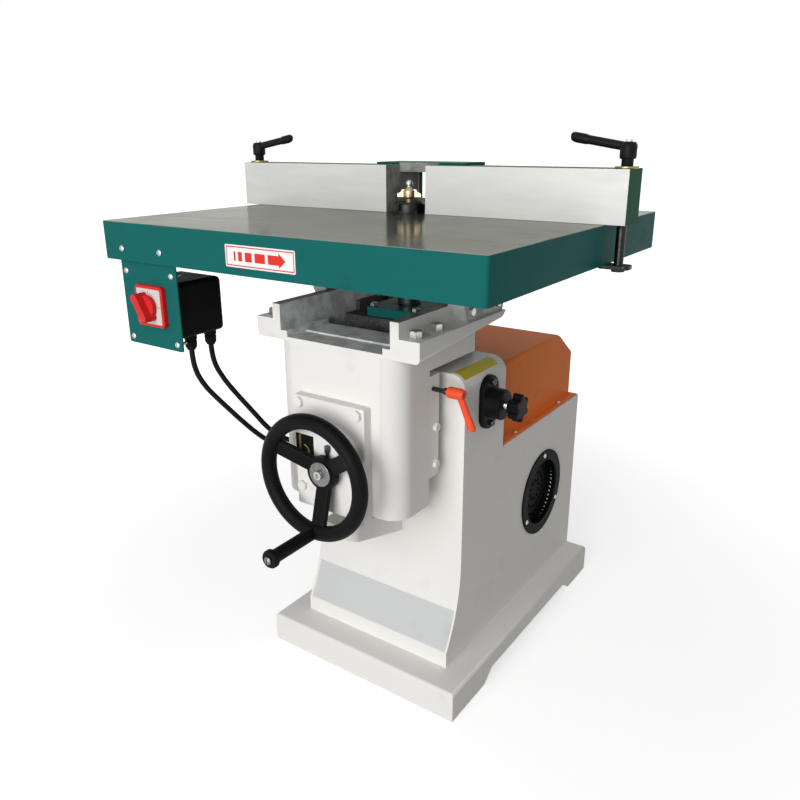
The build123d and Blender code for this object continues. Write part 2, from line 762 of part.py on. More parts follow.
def spindle_bearings():
    """Two deep-groove bearings, each with its shield drawn in between the races."""
    rings = []
    for bottom in (LOWER_BEARING, UPPER_BEARING):
        top = bottom + BEARING_WIDTH
        inner = JOURNAL_RADIUS + RUNNING
        step_in = JOURNAL_RADIUS + 5
        step_out = BEARING_RADIUS - 5
        rings.append(turned(
            [
                (inner, bottom), (step_in, bottom), (step_in, bottom + 1), (step_out, bottom + 1),
                (step_out, bottom), (BEARING_RADIUS, bottom), (BEARING_RADIUS, top), (step_out, top),
                (step_out, top - 1), (step_in, top - 1), (step_in, top), (inner, top),
            ],
            (0, SPINDLE_Y, 0),
        ))
    return Compound(rings)


def spindle():
    foot = PULLEY_BOTTOM - 8
    shoulder = HOUSING_TOP + HOUSING_LIP
    bore_bottom = NOSE_TOP - SHANK_DEPTH
    return turned(
        [
            (0, foot), (PULLEY_SEAT_RADIUS, foot), (PULLEY_SEAT_RADIUS, COLLAR_TOP),
            (JOURNAL_RADIUS, COLLAR_TOP), (JOURNAL_RADIUS, shoulder), (NOSE_RADIUS, shoulder),
            (NOSE_RADIUS, NOSE_TOP), (SHANK_RADIUS + SEAT, NOSE_TOP),
            (SHANK_RADIUS + SEAT, bore_bottom), (0, bore_bottom),
        ],
        (0, SPINDLE_Y, 0),
    )


def spindle_pulley():
    """Flat pulley with the lock collar on one hub."""
    rim = SPINDLE_PULLEY_RADIUS + PULLEY_RIM
    hub = PULLEY_SEAT_RADIUS + 6
    bore = PULLEY_SEAT_RADIUS + SEAT
    return turned(
        [
            (bore, PULLEY_BOTTOM - PULLEY_RIM), (rim, PULLEY_BOTTOM - PULLEY_RIM), (rim, PULLEY_BOTTOM),
            (SPINDLE_PULLEY_RADIUS, PULLEY_BOTTOM), (SPINDLE_PULLEY_RADIUS, PULLEY_TOP),
            (rim, PULLEY_TOP), (rim, PULLEY_TOP + PULLEY_RIM), (hub, PULLEY_TOP + PULLEY_RIM),
            (hub, COLLAR_BOTTOM), (LOCK_COLLAR_RADIUS, COLLAR_BOTTOM),
            (LOCK_COLLAR_RADIUS, COLLAR_TOP), (bore, COLLAR_TOP),
        ],
        (0, SPINDLE_Y, 0),
    )


def collet_nut():
    bottom = NUT_TOP - NUT_HEIGHT
    body = turned(
        [
            (NOSE_RADIUS + SEAT, bottom), (NUT_RADIUS, bottom), (NUT_RADIUS, NUT_TOP - 3),
            (NUT_RADIUS - 3, NUT_TOP), (SHANK_RADIUS + SEAT, NUT_TOP), (SHANK_RADIUS + SEAT, NOSE_TOP),
            (NOSE_RADIUS + SEAT, NOSE_TOP),
        ],
        (0, SPINDLE_Y, 0),
    )
    # Spanner slots round the rim
    slot = block((NUT_RADIUS - 3, NUT_RADIUS + 1), sides(3), (NUT_TOP - 13, NUT_TOP + 1))
    slots = [Pos(0, SPINDLE_Y, 0) * Rot(0, 0, 60 * index + 30) * slot for index in range(6)]
    return body - slots


def cutter():
    """Two-winged moulding bit with a pilot pin."""
    neck = CUTTER_BOTTOM - 3
    pilot_bottom = CUTTER_TOP + 2
    pilot_top = pilot_bottom + PILOT_HEIGHT
    core = turned([
        (0, NOSE_TOP - SHANK_DEPTH), (SHANK_RADIUS, NOSE_TOP - SHANK_DEPTH), (SHANK_RADIUS, neck),
        (CUTTER_HUB, CUTTER_BOTTOM), (CUTTER_HUB, CUTTER_BOTTOM + 0.6 * CUTTER_HEIGHT),
        (PILOT_PIN + 1.5, CUTTER_TOP), (PILOT_PIN + 1.5, pilot_bottom), (PILOT_PIN, pilot_bottom),
        (PILOT_PIN, pilot_top), (PILOT_PIN + 1.5, pilot_top), (PILOT_PIN + 0.5, pilot_top + 2),
        (0, pilot_top + 2),
    ])
    wing = prism_y(
        [
            (-CUTTER_RADIUS, CUTTER_BOTTOM), (CUTTER_RADIUS, CUTTER_BOTTOM),
            (CUTTER_RADIUS, CUTTER_BOTTOM + 0.35 * CUTTER_HEIGHT),
            (0.7 * CUTTER_RADIUS, CUTTER_BOTTOM + 0.5 * CUTTER_HEIGHT),
            (0.6 * CUTTER_RADIUS, CUTTER_BOTTOM + 0.75 * CUTTER_HEIGHT),
            (-0.6 * CUTTER_RADIUS, CUTTER_BOTTOM + 0.75 * CUTTER_HEIGHT),
            (-0.7 * CUTTER_RADIUS, CUTTER_BOTTOM + 0.5 * CUTTER_HEIGHT),
            (-CUTTER_RADIUS, CUTTER_BOTTOM + 0.35 * CUTTER_HEIGHT),
        ],
        sides(WING_THICKNESS / 2),
    )
    return Pos(0, SPINDLE_Y, 0) * (core + Rot(0, 0, 20) * wing)


def pilot_bearing():
    bottom = CUTTER_TOP + 2
    edge = 1
    return turned(
        [
            (PILOT_PIN + SEAT, bottom), (PILOT_RADIUS - edge, bottom), (PILOT_RADIUS, bottom + edge),
            (PILOT_RADIUS, bottom + PILOT_HEIGHT - edge), (PILOT_RADIUS - edge, bottom + PILOT_HEIGHT),
            (PILOT_PIN + SEAT, bottom + PILOT_HEIGHT),
        ],
        (0, SPINDLE_Y, 0),
    )


# Motor and belt


def motor_frame():
    """Flange-mounted frame with cooling fins, hollow for the rotor."""
    shell = turned([
        (0, MOTOR_BOTTOM), (0.8 * MOTOR_RADIUS, MOTOR_BOTTOM), (MOTOR_RADIUS, MOTOR_BOTTOM + 20),
        (MOTOR_RADIUS, MOTOR_TOP - MOTOR_FLANGE), (MOTOR_FLANGE_RADIUS, MOTOR_TOP - MOTOR_FLANGE),
        (MOTOR_FLANGE_RADIUS, MOTOR_TOP), (0, MOTOR_TOP),
    ])
    room = turned([
        (0, MOTOR_BOTTOM + MOTOR_WALL), (MOTOR_BORE, MOTOR_BOTTOM + MOTOR_WALL),
        (MOTOR_BORE, MOTOR_TOP - MOTOR_WALL), (MOTOR_SHAFT + RUNNING, MOTOR_TOP - MOTOR_WALL),
        (MOTOR_SHAFT + RUNNING, MOTOR_TOP), (0, MOTOR_TOP),
    ])
    groove = block(
        (MOTOR_RADIUS - FIN_DEPTH, MOTOR_RADIUS + 1),
        sides(0.5 * pi * MOTOR_RADIUS / FIN_COUNT),
        (MOTOR_BOTTOM + 40, MOTOR_TOP - MOTOR_FLANGE - 20),
    )
    grooves = [Rot(0, 0, 360 / FIN_COUNT * index) * groove for index in range(FIN_COUNT)]
    return Pos(0, MOTOR_Y, 0) * (shell - room - grooves)


def motor_plate():
    side = TOWER_SIDE - CASTING_WALL - SLIDING
    plate = block(sides(side), motor_plate_limits(), (MOTOR_TOP, PLATE_TOP))
    plate -= rod(MOTOR_SHAFT + 8, (0, MOTOR_Y, MOTOR_TOP), (0, 0, 1), PLATE_THICKNESS)
    for x, y in motor_plate_bolts() + motor_flange_bolts():
        plate -= rod(BOLT_RADIUS + SEAT, (x, y, MOTOR_TOP), (0, 0, 1), PLATE_THICKNESS)
    return plate


def motor_flange_bolts():
    reach = (MOTOR_FLANGE_RADIUS + MOTOR_RADIUS) / 2 * cos(pi / 4)
    return [(x * reach, MOTOR_Y + y * reach) for x in (-1, 1) for y in (-1, 1)]


def motor_bolts():
    """Four bolts hold the plate to the ledges, and four hold the motor under the plate."""
    ledge_bolt = hex_bolt(BOLT_FLATS, MOTOR_BOLT_HEAD, BOLT_RADIUS, PLATE_THICKNESS + LEDGE_HEIGHT)
    flange_bolt = hex_bolt(BOLT_FLATS, MOTOR_BOLT_HEAD, BOLT_RADIUS, PLATE_THICKNESS)
    bolts = [Pos(x, y, PLATE_TOP) * ledge_bolt for x, y in motor_plate_bolts()]
    bolts += [Pos(x, y, PLATE_TOP) * flange_bolt for x, y in motor_flange_bolts()]
    return Compound(bolts)


def motor_rotor():
    core_bottom = MOTOR_BOTTOM + 40
    core_top = MOTOR_TOP - 40
    foot = MOTOR_BOTTOM + MOTOR_WALL + TURNING
    return turned(
        [
            (0, foot), (MOTOR_SHAFT, foot), (MOTOR_SHAFT, core_bottom), (ROTOR_RADIUS, core_bottom),
            (ROTOR_RADIUS, core_top), (MOTOR_SHAFT, core_top), (MOTOR_SHAFT, PULLEY_TOP + 6),
            (0, PULLEY_TOP + 6),
        ],
        (0, MOTOR_Y, 0),
    )


def motor_pulley():
    rim = MOTOR_PULLEY_RADIUS + PULLEY_RIM
    web = MOTOR_PULLEY_RADIUS - 10
    hub = MOTOR_SHAFT + 14
    bore = MOTOR_SHAFT + SEAT
    low = PULLEY_BOTTOM - PULLEY_RIM
    high = PULLEY_TOP + PULLEY_RIM
    web_low = PULLEY_BOTTOM + 0.35 * PULLEY_FACE
    web_high = PULLEY_BOTTOM + 0.65 * PULLEY_FACE
    return turned(
        [
            (bore, low), (hub, low), (hub, web_low), (web, web_low), (web, low), (rim, low),
            (rim, PULLEY_BOTTOM), (MOTOR_PULLEY_RADIUS, PULLEY_BOTTOM), (MOTOR_PULLEY_RADIUS, PULLEY_TOP),
            (rim, PULLEY_TOP), (rim, high), (web, high), (web, web_high), (hub, web_high), (hub, high),
            (bore, high),
        ],
        (0, MOTOR_Y, 0),
    )


def drive_belt():
    """Flat belt on the outer tangents of both pulleys."""
    span = MOTOR_Y - SPINDLE_Y

    def loop(grow):
        small = SPINDLE_PULLEY_RADIUS + grow
        large = MOTOR_PULLEY_RADIUS + grow
        lean = asin((large - small) / span)
        near = (small * cos(lean), SPINDLE_Y - small * sin(lean))
        far = (large * cos(lean), MOTOR_Y - large * sin(lean))
        strip = make_face(Polyline(
            near, far, (-far[0], far[1]), (-near[0], near[1]), close=True
        ))
        return strip + Pos(0, SPINDLE_Y) * Circle(small) + Pos(0, MOTOR_Y) * Circle(large)

    section = loop(BELT_GAP + BELT_THICKNESS) - loop(BELT_GAP)
    bottom = PULLEY_BOTTOM + (PULLEY_FACE - BELT_WIDTH) / 2
    return Pos(0, 0, bottom) * extrude(section, BELT_WIDTH)


# Covers of the pedestal


def belt_cover():
    """Folded sheet cover over the belt, open towards the tower, with a screwed flange at its foot."""
    front = TOWER_BACK + 0.5
    back = front + COVER_LENGTH
    bottom = COMPARTMENT_HEIGHT
    top = bottom + COVER_HEIGHT

    def outline(inset):
        return [
            (front, bottom), (front, top - inset), (back - COVER_SLOPE_LENGTH - 0.4 * inset, top - inset),
            (back - inset, top - COVER_SLOPE_DROP - 0.7 * inset), (back - inset, bottom),
        ]

    half = COVER_WIDTH / 2
    shell = prism_x(outline(0), sides(half))
    long_edges = shell.edges().filter_by(Axis.Y).group_by(Axis.Z)[-1]
    shell = fillet(long_edges, COVER_BEND)
    shell -= prism_x(outline(COVER_SHEET), sides(half - COVER_SHEET))
    for side in (-1, 1):
        limits = sorted((side * (half - COVER_SHEET), side * (half + COVER_FLANGE)))
        shell += block(limits, (front, back), (bottom, bottom + COVER_SHEET))
    for x, y in cover_screw_places():
        shell -= rod(SCREW_RADIUS + SEAT, (x, y, bottom), (0, 0, 1), COVER_SHEET)
    return shell


def vent_cover():
    """Round grille let into the right wall: a dish with holes in its wall and floor, and a screwed rim."""
    outer = VENT_DISH_RADIUS + VENT_SHEET
    body = turned([
        (0, -VENT_DISH), (outer, -VENT_DISH), (outer, 0), (VENT_RADIUS, 0), (VENT_RADIUS, VENT_SHEET),
        (VENT_DISH_RADIUS, VENT_SHEET), (VENT_DISH_RADIUS, VENT_SHEET - VENT_DISH),
        (0, VENT_SHEET - VENT_DISH),
    ])
    middle = -VENT_DISH / 2
    holes = []
    for index in range(VENT_HOLES):
        turn = Rot(0, 0, 360 / VENT_HOLES * index)
        holes.append(turn * rod(VENT_HOLE, (VENT_DISH_RADIUS - 1, 0, middle), (1, 0, 0), VENT_SHEET + 2))
    for share, count in ((0.3, 10), (0.54, 18), (0.78, 26)):
        for index in range(count):
            place = Rot(0, 0, 360 / count * index) * Pos(share * VENT_DISH_RADIUS, 0, -VENT_DISH)
            holes.append(place * Cylinder(1.7 * VENT_HOLE, 3 * VENT_SHEET))
    body -= holes
    body = facing((TOWER_SIDE, VENT_Y, VENT_Z), (1, 0, 0), body)
    for y, z in vent_screw_places():
        body -= rod(SCREW_RADIUS + SEAT, (TOWER_SIDE, y, z), (1, 0, 0), VENT_SHEET)
    return body


def cover_screws():
    """Screws of the belt cover's flange, of the vent cover and of the spindle lock's flange."""
    lid = panel_screw(COVER_SHEET + COMPARTMENT_LIP - THREAD_SHORT)
    side = panel_screw(VENT_SHEET + CASTING_WALL - THREAD_SHORT)
    lid_bottom = COMPARTMENT_HEIGHT + COVER_SHEET
    screws = [Pos(x, y, lid_bottom) * lid for x, y in cover_screw_places()]
    for y, z in vent_screw_places():
        screws.append(facing((TOWER_SIDE + VENT_SHEET, y, z), (1, 0, 0), side))
    length = LOCK_FLANGE + CASTING_WALL - THREAD_SHORT
    lock = socket_screw(LOCK_SCREW_HEAD_RADIUS, CAP_SCREW_HEAD, LOCK_SCREW_RADIUS, length)
    for z in lock_screw_heights():
        screws.append(facing((TOWER_SIDE + LOCK_FLANGE, SPINDLE_Y, z), (1, 0, 0), lock))
    return Compound(screws)


# Spindle lock


def lock_flange():
    radius = LOCK_FLANGE_WIDTH / 2
    reach = LOCK_FLANGE_HEIGHT / 2 - radius
    oval = SlotCenterToCenter(2 * reach, LOCK_FLANGE_WIDTH)
    plate = extrude(oval, LOCK_FLANGE)
    plate = fillet(plate.edges().group_by(Axis.Z)[-1], LOCK_FLANGE / 3)
    hub = rod(LOCK_HUB_RADIUS, (0, 0, 0), (0, 0, 1), LOCK_FLANGE + LOCK_HUB)
    hub = fillet(hub.edges().group_by(Axis.Z)[-1], 4)
    wall = Plane(origin=(TOWER_SIDE, SPINDLE_Y, LOCK_Z), x_dir=(0, 0, 1), z_dir=(1, 0, 0))
    body = wall * (plate + hub)
    body -= rod(
        LOCK_PIN_RADIUS + RUNNING, (TOWER_SIDE, SPINDLE_Y, LOCK_Z), (1, 0, 0), LOCK_FLANGE + LOCK_HUB
    )
    for z in lock_screw_heights():
        body -= rod(LOCK_SCREW_RADIUS + SEAT, (TOWER_SIDE, SPINDLE_Y, z), (1, 0, 0), LOCK_FLANGE)
    return body


def lock_knob_face():
    return TOWER_SIDE + LOCK_FLANGE + LOCK_HUB + LOCK_TRAVEL + TURNING


def lock_pin():
    """Plunger with a friction pad that is pushed against the collar of the spindle."""
    tip = LOCK_COLLAR_RADIUS + LOCK_TRAVEL + TURNING
    end = lock_knob_face() + LOCK_KNOB / 2
    return rod(LOCK_PIN_RADIUS, (tip, SPINDLE_Y, LOCK_Z), (1, 0, 0), end - tip)


def lock_knob():
    lobe_radius = LOCK_KNOB_RADIUS / 4
    lobe_reach = LOCK_KNOB_RADIUS - lobe_radius
    shape = Circle(lobe_reach)
    for index in range(LOCK_LOBES):
        angle = 2 * pi * index / LOCK_LOBES
        shape += Pos(lobe_reach * cos(angle), lobe_reach * sin(angle)) * Circle(lobe_radius)
    star = Pos(0, 0, 8) * extrude(shape, LOCK_KNOB - 8)
    star = fillet(star.edges().group_by(Axis.Z)[-1], 3)
    body = star + rod(LOCK_NECK_RADIUS, (0, 0, 0), (0, 0, 1), 9)
    body -= rod(LOCK_PIN_RADIUS + SEAT, (0, 0, 0), (0, 0, 1), LOCK_KNOB / 2)
    return facing((lock_knob_face(), SPINDLE_Y, LOCK_Z), (1, 0, 0), body)


# Carriage


def dovetail_jaw():
    """The right jaw's outline round the slideway, in X and Y."""
    way_root = -TOWER_FRONT - WAY_ROOT
    return [
        (WAY_HEAD_WIDTH / 2 + 2 * SLIDING, COLUMN_BACK), (CARRIAGE_SIDE, COLUMN_BACK),
        (CARRIAGE_SIDE, way_root), (WAY_ROOT_WIDTH / 2 + 2 * SLIDING, way_root),
    ]


def carriage():
    column = block(
        sides(CARRIAGE_SIDE), (COLUMN_FRONT, COLUMN_BACK), (COLUMN_BOTTOM, EAR_BOTTOM)
    )
    column = fillet(column.edges().filter_by(Axis.Z).group_by(Axis.Y)[0], COLUMN_CORNER)
    cavity_side = CARRIAGE_SIDE - COLUMN_WALL
    cavity = block(
        sides(cavity_side),
        (COLUMN_FRONT + COLUMN_WALL, COLUMN_BACK),
        (COLUMN_BOTTOM, CHANNEL_FLOOR - FLOOR_THICKNESS),
    )
    cavity = fillet(cavity.edges().filter_by(Axis.Z).group_by(Axis.Y)[0], COLUMN_CORNER - COLUMN_WALL)
    body = column - cavity

    # Channel with its ledges, side walls and ears, one profile along the top
    half = [
        (CHANNEL_SIDE - CHANNEL_LEDGE, CHANNEL_FLOOR),
        (CHANNEL_SIDE - CHANNEL_LEDGE, CHANNEL_FLOOR + CHANNEL_LEDGE_RISE),
        (CHANNEL_SIDE, CHANNEL_FLOOR + CHANNEL_LEDGE_RISE), (CHANNEL_SIDE, CHANNEL_TOP),
        (CARRIAGE_SIDE, CHANNEL_TOP), (CARRIAGE_SIDE, EAR_BOTTOM),
    ]
    profile = half + [(-x, z) for x, z in reversed(half)]
    floor_back = COLUMN_FRONT + FLOOR_LENGTH
    body += prism_y(profile, (COLUMN_FRONT, floor_back))
    body += block(
        sides(CHANNEL_SIDE), (COLUMN_BACK, floor_back), (CHANNEL_FLOOR - FLOOR_THICKNESS, EAR_BOTTOM)
    )
    body += block(
        sides(CHANNEL_SIDE - CHANNEL_LEDGE),
        (COLUMN_FRONT + FLOOR_STEP, floor_back),
        (CHANNEL_FLOOR - 1, CHANNEL_FLOOR + FLOOR_STEP_RISE),
    )
    # Notch in the back edge of the floor, in front of the neck
    slot = block(
        sides(FLOOR_SLOT_WIDTH / 2),
        (floor_back - FLOOR_SLOT_DEPTH / 2, floor_back + FLOOR_SLOT_DEPTH / 2),
        (CHANNEL_FLOOR - FLOOR_THICKNESS, CHANNEL_TOP),
    )
    body -= fillet(slot.edges().filter_by(Axis.Z), FLOOR_SLOT_CORNER)

    arm_back = COLUMN_FRONT + ARM_LENGTH
    ear_back = COLUMN_FRONT + EAR_LENGTH
    ear = prism_x(
        [
            (COLUMN_FRONT, EAR_TOP), (COLUMN_FRONT, EAR_BOTTOM),
            (ear_back - EAR_END_SLANT, EAR_TOP - EAR_BACK), (ear_back, EAR_TOP),
        ],
        (CARRIAGE_SIDE - 1, CARRIAGE_SIDE + EAR_WIDTH),
    )
    ear = fillet(ear.edges().sort_by(Axis.X)[-4:].sort_by(Axis.Z)[0], EAR_CORNER)
    wall = block(
        (CHANNEL_SIDE, CARRIAGE_SIDE), (COLUMN_BACK, arm_back), (EAR_TOP - ARM_DROP, CHANNEL_TOP)
    )
    wall += block((CHANNEL_SIDE, CARRIAGE_SIDE), (COLUMN_BACK, ear_back), (EAR_TOP - EAR_BACK, CHANNEL_TOP))
    body += wall + mirrored(wall) + ear + mirrored(ear)

    # Pads that bear on the slideway, the fixed left jaw and the web over the lift nut
    pad = block(
        (cavity_side - PAD_WIDTH, cavity_side + 1),
        (COLUMN_BACK - PAD_DEPTH, COLUMN_BACK),
        (JAW_BOTTOM, JAW_BOTTOM + JAW_HEIGHT),
    )
    jaw = mirrored(prism_z(dovetail_jaw(), (JAW_BOTTOM, JAW_BOTTOM + JAW_HEIGHT)))
    web = block(
        sides(cavity_side + 1), (COLUMN_FRONT + COLUMN_WALL - 1, COLUMN_BACK), (WEB_BOTTOM, WEB_TOP)
    )
    web -= rod(NUT_HUB_RADIUS + RUNNING, (0, SCREW_Y, WEB_BOTTOM), (0, 0, 1), WEB_THICKNESS)
    body += pad + mirrored(pad) + jaw + web

    # Window behind the gear cover and the threaded holes
    window_middle = SHAFT_Z + 0.1 * GEAR_WINDOW_HEIGHT
    body -= block(
        sides(GEAR_WINDOW_WIDTH / 2),
        (COLUMN_FRONT, COLUMN_FRONT + COLUMN_WALL - 1),
        (window_middle - GEAR_WINDOW_HEIGHT / 2 + 20, window_middle + GEAR_WINDOW_HEIGHT / 2),
    )
    body -= rod(GEAR_PITCH_RADIUS + 6, (0, COLUMN_FRONT, SHAFT_Z), (0, 1, 0), COLUMN_WALL)
    for x, z in gear_cover_bolt_places():
        body -= rod(GEAR_COVER_BOLT_RADIUS + SEAT, (x, COLUMN_FRONT, z), (0, 1, 0), COLUMN_WALL)
    for x, y in ear_bolt_places():
        body -= rod(EAR_BOLT_RADIUS + SEAT, (x, y, EAR_TOP - EAR_BOLT_HOLE), (0, 0, 1), EAR_BOLT_HOLE)
    return body


def gear_cover_bolt_places():
    x = GEAR_COVER_WIDTH / 2 - 13
    top = GEAR_COVER_BOTTOM + GEAR_COVER_HEIGHT - 11
    bottom = GEAR_COVER_BOTTOM + 36
    return [(side * x, z) for side in (-1, 1) for z in (bottom, top)]


def ear_bolt_places():
    x = CARRIAGE_SIDE + 16
    return [(side * x, COLUMN_FRONT + y) for side in (-1, 1) for y in (22, 79)]


def gear_cover():
    """Front plate of the gear room, with the boss that carries the handwheel shaft."""
    top = GEAR_COVER_BOTTOM + GEAR_COVER_HEIGHT
    plate = block(
        sides(GEAR_COVER_WIDTH / 2), (COVER_FRONT, COLUMN_FRONT), (GEAR_COVER_BOTTOM, top)
    )
    plate = fillet(plate.edges().filter_by(Axis.Y), GEAR_COVER_CORNER)
    plate = fillet(plate.edges().group_by(Axis.Y)[0], GEAR_COVER_CORNER / 2)
    boss_front = COVER_FRONT - GEAR_COVER_BOSS
    plate += rod(GEAR_COVER_BOSS_RADIUS, (0, boss_front, SHAFT_Z), (0, 1, 0), GEAR_COVER_BOSS + 1)
    bore = SHAFT_RADIUS + BUSH_WALL + SEAT
    plate -= rod(bore, (0, boss_front, SHAFT_Z), (0, 1, 0), GEAR_COVER_BOSS + GEAR_COVER)
    plate -= rod(
        SHAFT_LOCK_RADIUS + RUNNING,
        (0, COVER_FRONT - GEAR_COVER_BOSS / 2, SHAFT_Z + SHAFT_RADIUS),
        (0, 0, 1),
        GEAR_COVER_BOSS_RADIUS,
    )
    for x, z in gear_cover_bolt_places():
        plate -= rod(GEAR_COVER_BOLT_RADIUS + SEAT, (x, COVER_FRONT, z), (0, 1, 0), GEAR_COVER)
    return plate


def gear_cover_bolts():
    length = GEAR_COVER + COLUMN_WALL - THREAD_SHORT
    bolt = hex_bolt(GEAR_COVER_BOLT_FLATS, GEAR_COVER_BOLT_HEAD, GEAR_COVER_BOLT_RADIUS, length)
    return Compound([
        facing((x, COVER_FRONT, z), (0, -1, 0), bolt) for x, z in gear_cover_bolt_places()
    ])


def shaft_bush():
    front = COVER_FRONT - GEAR_COVER_BOSS
    length = GEAR_COVER_BOSS + GEAR_COVER
    bush = rod(SHAFT_RADIUS + BUSH_WALL, (0, front, SHAFT_Z), (0, 1, 0), length)
    bush -= rod(SHAFT_RADIUS + RUNNING, (0, front, SHAFT_Z), (0, 1, 0), length)
    # Cross hole for the shaft lock
    lock_y = COVER_FRONT - GEAR_COVER_BOSS / 2
    return bush - rod(SHAFT_LOCK_RADIUS + RUNNING, (0, lock_y, SHAFT_Z), (0, 0, 1), GEAR_COVER_BOSS_RADIUS)


def shaft_lock_screw():
    """Small thumb screw that stands on the boss and pinches the handwheel shaft."""
    lock_y = COVER_FRONT - GEAR_COVER_BOSS / 2
    start = SHAFT_Z + SHAFT_RADIUS + TURNING
    head = SHAFT_Z + GEAR_COVER_BOSS_RADIUS + SHAFT_LOCK_STAND
    screw = rod(SHAFT_LOCK_RADIUS, (0, lock_y, start), (0, 0, 1), head + 1 - start)
    knurled = Circle(SHAFT_LOCK_HEAD_RADIUS)
    for index in range(SHAFT_LOCK_FLUTES):
        angle = 2 * pi * index / SHAFT_LOCK_FLUTES
        place = Pos(SHAFT_LOCK_HEAD_RADIUS * cos(angle), SHAFT_LOCK_HEAD_RADIUS * sin(angle))
        knurled -= place * Circle(SHAFT_LOCK_HEAD_RADIUS / 6)
    return screw + Pos(0, lock_y, head) * extrude(knurled, SHAFT_LOCK_HEAD)


def keeper_bar():
    """Right jaw of the slideway, screwed to the carriage's back."""
    top = JAW_BOTTOM + JAW_HEIGHT
    body = prism_z(dovetail_jaw(), (JAW_BOTTOM, top))
    bolt_y = keeper_bolt_y()
    for z in KEEPER_BOLT_Z:
        body -= rod(
            BOLT_RADIUS + SEAT, (CARRIAGE_SIDE - KEEPER_BOLT_HOLE, bolt_y, z), (1, 0, 0), KEEPER_BOLT_HOLE
        )
    body -= rod(
        LIFT_LOCK_STUD + RUNNING,
        (CARRIAGE_SIDE - KEEPER_BOLT_HOLE, COLUMN_BACK + LIFT_LOCK_FROM_FACE, LIFT_LOCK_Z),
        (1, 0, 0),
        KEEPER_BOLT_HOLE,
    )
    return body


def keeper_bolt_y():
    return COLUMN_BACK + 0.65 * WAY_HEAD


def keeper_bolts():
    bolt = hex_bolt(BOLT_FLATS, BOLT_HEAD, BOLT_RADIUS, KEEPER_BOLT_HOLE - BLIND_END)
    return Compound([
        facing((CARRIAGE_SIDE, keeper_bolt_y(), z), (1, 0, 0), bolt) for z in KEEPER_BOLT_Z
    ])


def lift_lock_stud():
    y = COLUMN_BACK + LIFT_LOCK_FROM_FACE
    start = CARRIAGE_SIDE - 19
    seat = CARRIAGE_SIDE + LIFT_LOCK_STAND
    end = seat + 0.95 * LIFT_LEVER_HEIGHT
    stud = rod(LIFT_LOCK_STUD, (start, y, LIFT_LOCK_Z), (1, 0, 0), end - start)
    collar = rod(
        LIFT_LOCK_COLLAR_RADIUS, (seat - LIFT_LOCK_COLLAR, y, LIFT_LOCK_Z), (1, 0, 0), LIFT_LOCK_COLLAR
    )
    return stud + collar


def lift_lock_lever():
    """Orange clamping lever on the stud, its handle hanging down and outwards."""
    body = clamp_handle(
        LIFT_LEVER_HUB, LIFT_LEVER_HEIGHT, LIFT_LEVER_REACH, LIFT_LEVER_RISE, LIFT_LEVER_HANDLE
    )
    body -= rod(LIFT_LOCK_STUD + SEAT, (0, 0, 0), (0, 0, 1), LIFT_LEVER_HEIGHT)
    place = Plane(
        origin=(CARRIAGE_SIDE + LIFT_LOCK_STAND, COLUMN_BACK + LIFT_LOCK_FROM_FACE, LIFT_LOCK_Z),
        x_dir=(0, 0.2, -1),
        z_dir=(1, 0, 0),
    )
    return place * body


# Handwheel and lift gears


def handwheel():
    """Dished wheel with a round rim, three flat spokes and a hub."""
    steps = [2 * pi * (index + 0.5) / RIM_SIDES for index in range(RIM_SIDES)]
    section = [
        (WHEEL_RADIUS + RIM_RADIUS * cos(step), -RIM_RADIUS * sin(step)) for step in steps
    ]
    rim = turned(section, (0, RIM_Y, SHAFT_Z), (0, -1, 0))
    hub = rod(HUB_RADIUS, (0, HUB_FRONT, SHAFT_Z), (0, 1, 0), HUB_LENGTH)
    root = WASHER_RADIUS + 2
    spoke = prism_x(
        [
            (HUB_FRONT, -root), (HUB_BACK, -root),
            (RIM_Y + SPOKE_THICKNESS / 2, -WHEEL_RADIUS), (RIM_Y - SPOKE_THICKNESS / 2, -WHEEL_RADIUS),
        ],
        sides(SPOKE_WIDTH / 2),
    )
    spoke = fillet(spoke.edges().sort_by(SortBy.LENGTH)[-4:], 3)
    turns = [360 / SPOKES * index - SPOKE_TURN for index in range(SPOKES)]
    spokes = [Pos(0, 0, SHAFT_Z) * Rot(0, turn, 0) * spoke for turn in turns]
    grip_seat = rod(GRIP_RADIUS, (0, GRIP_ROOT, GRIP_Z), (0, 1, 0), RIM_RADIUS + GRIP_BOSS)
    wheel = hub + spokes + rim + grip_seat
    wheel -= rod(SHAFT_RADIUS + SEAT, (0, HUB_FRONT, SHAFT_Z), (0, 1, 0), HUB_LENGTH)
    wheel -= rod(GRIP_BOLT_RADIUS + SEAT, (0, GRIP_ROOT, GRIP_Z), (0, 1, 0), RIM_RADIUS + GRIP_BOSS)
    return wheel


def handwheel_shaft():
    back = SCREW_Y - GEAR_PITCH_RADIUS + GEAR_FACE
    return rod(SHAFT_RADIUS, (0, HUB_FRONT, SHAFT_Z), (0, 1, 0), back - HUB_FRONT)


def hub_washer():
    disc = rod(WASHER_RADIUS, (0, 0, 0), (0, 0, 1), WASHER)
    disc = chamfer(disc.edges().group_by(Axis.Z)[-1], 1)
    disc -= rod(HUB_SCREW_RADIUS + SEAT, (0, 0, 0), (0, 0, 1), WASHER)
    return facing((0, HUB_FRONT, SHAFT_Z), (0, -1, 0), disc)


def hub_screw():
    screw = socket_screw(HUB_SCREW_HEAD_RADIUS, CAP_SCREW_HEAD, HUB_SCREW_RADIUS, WASHER)
    return facing((0, HUB_FRONT - WASHER, SHAFT_Z), (0, -1, 0), screw)


def bevel_pinion():
    pinion = bevel_gear(SHAFT_RADIUS + SEAT)
    return facing((0, SCREW_Y, SHAFT_Z), (0, 1, 0), pinion)


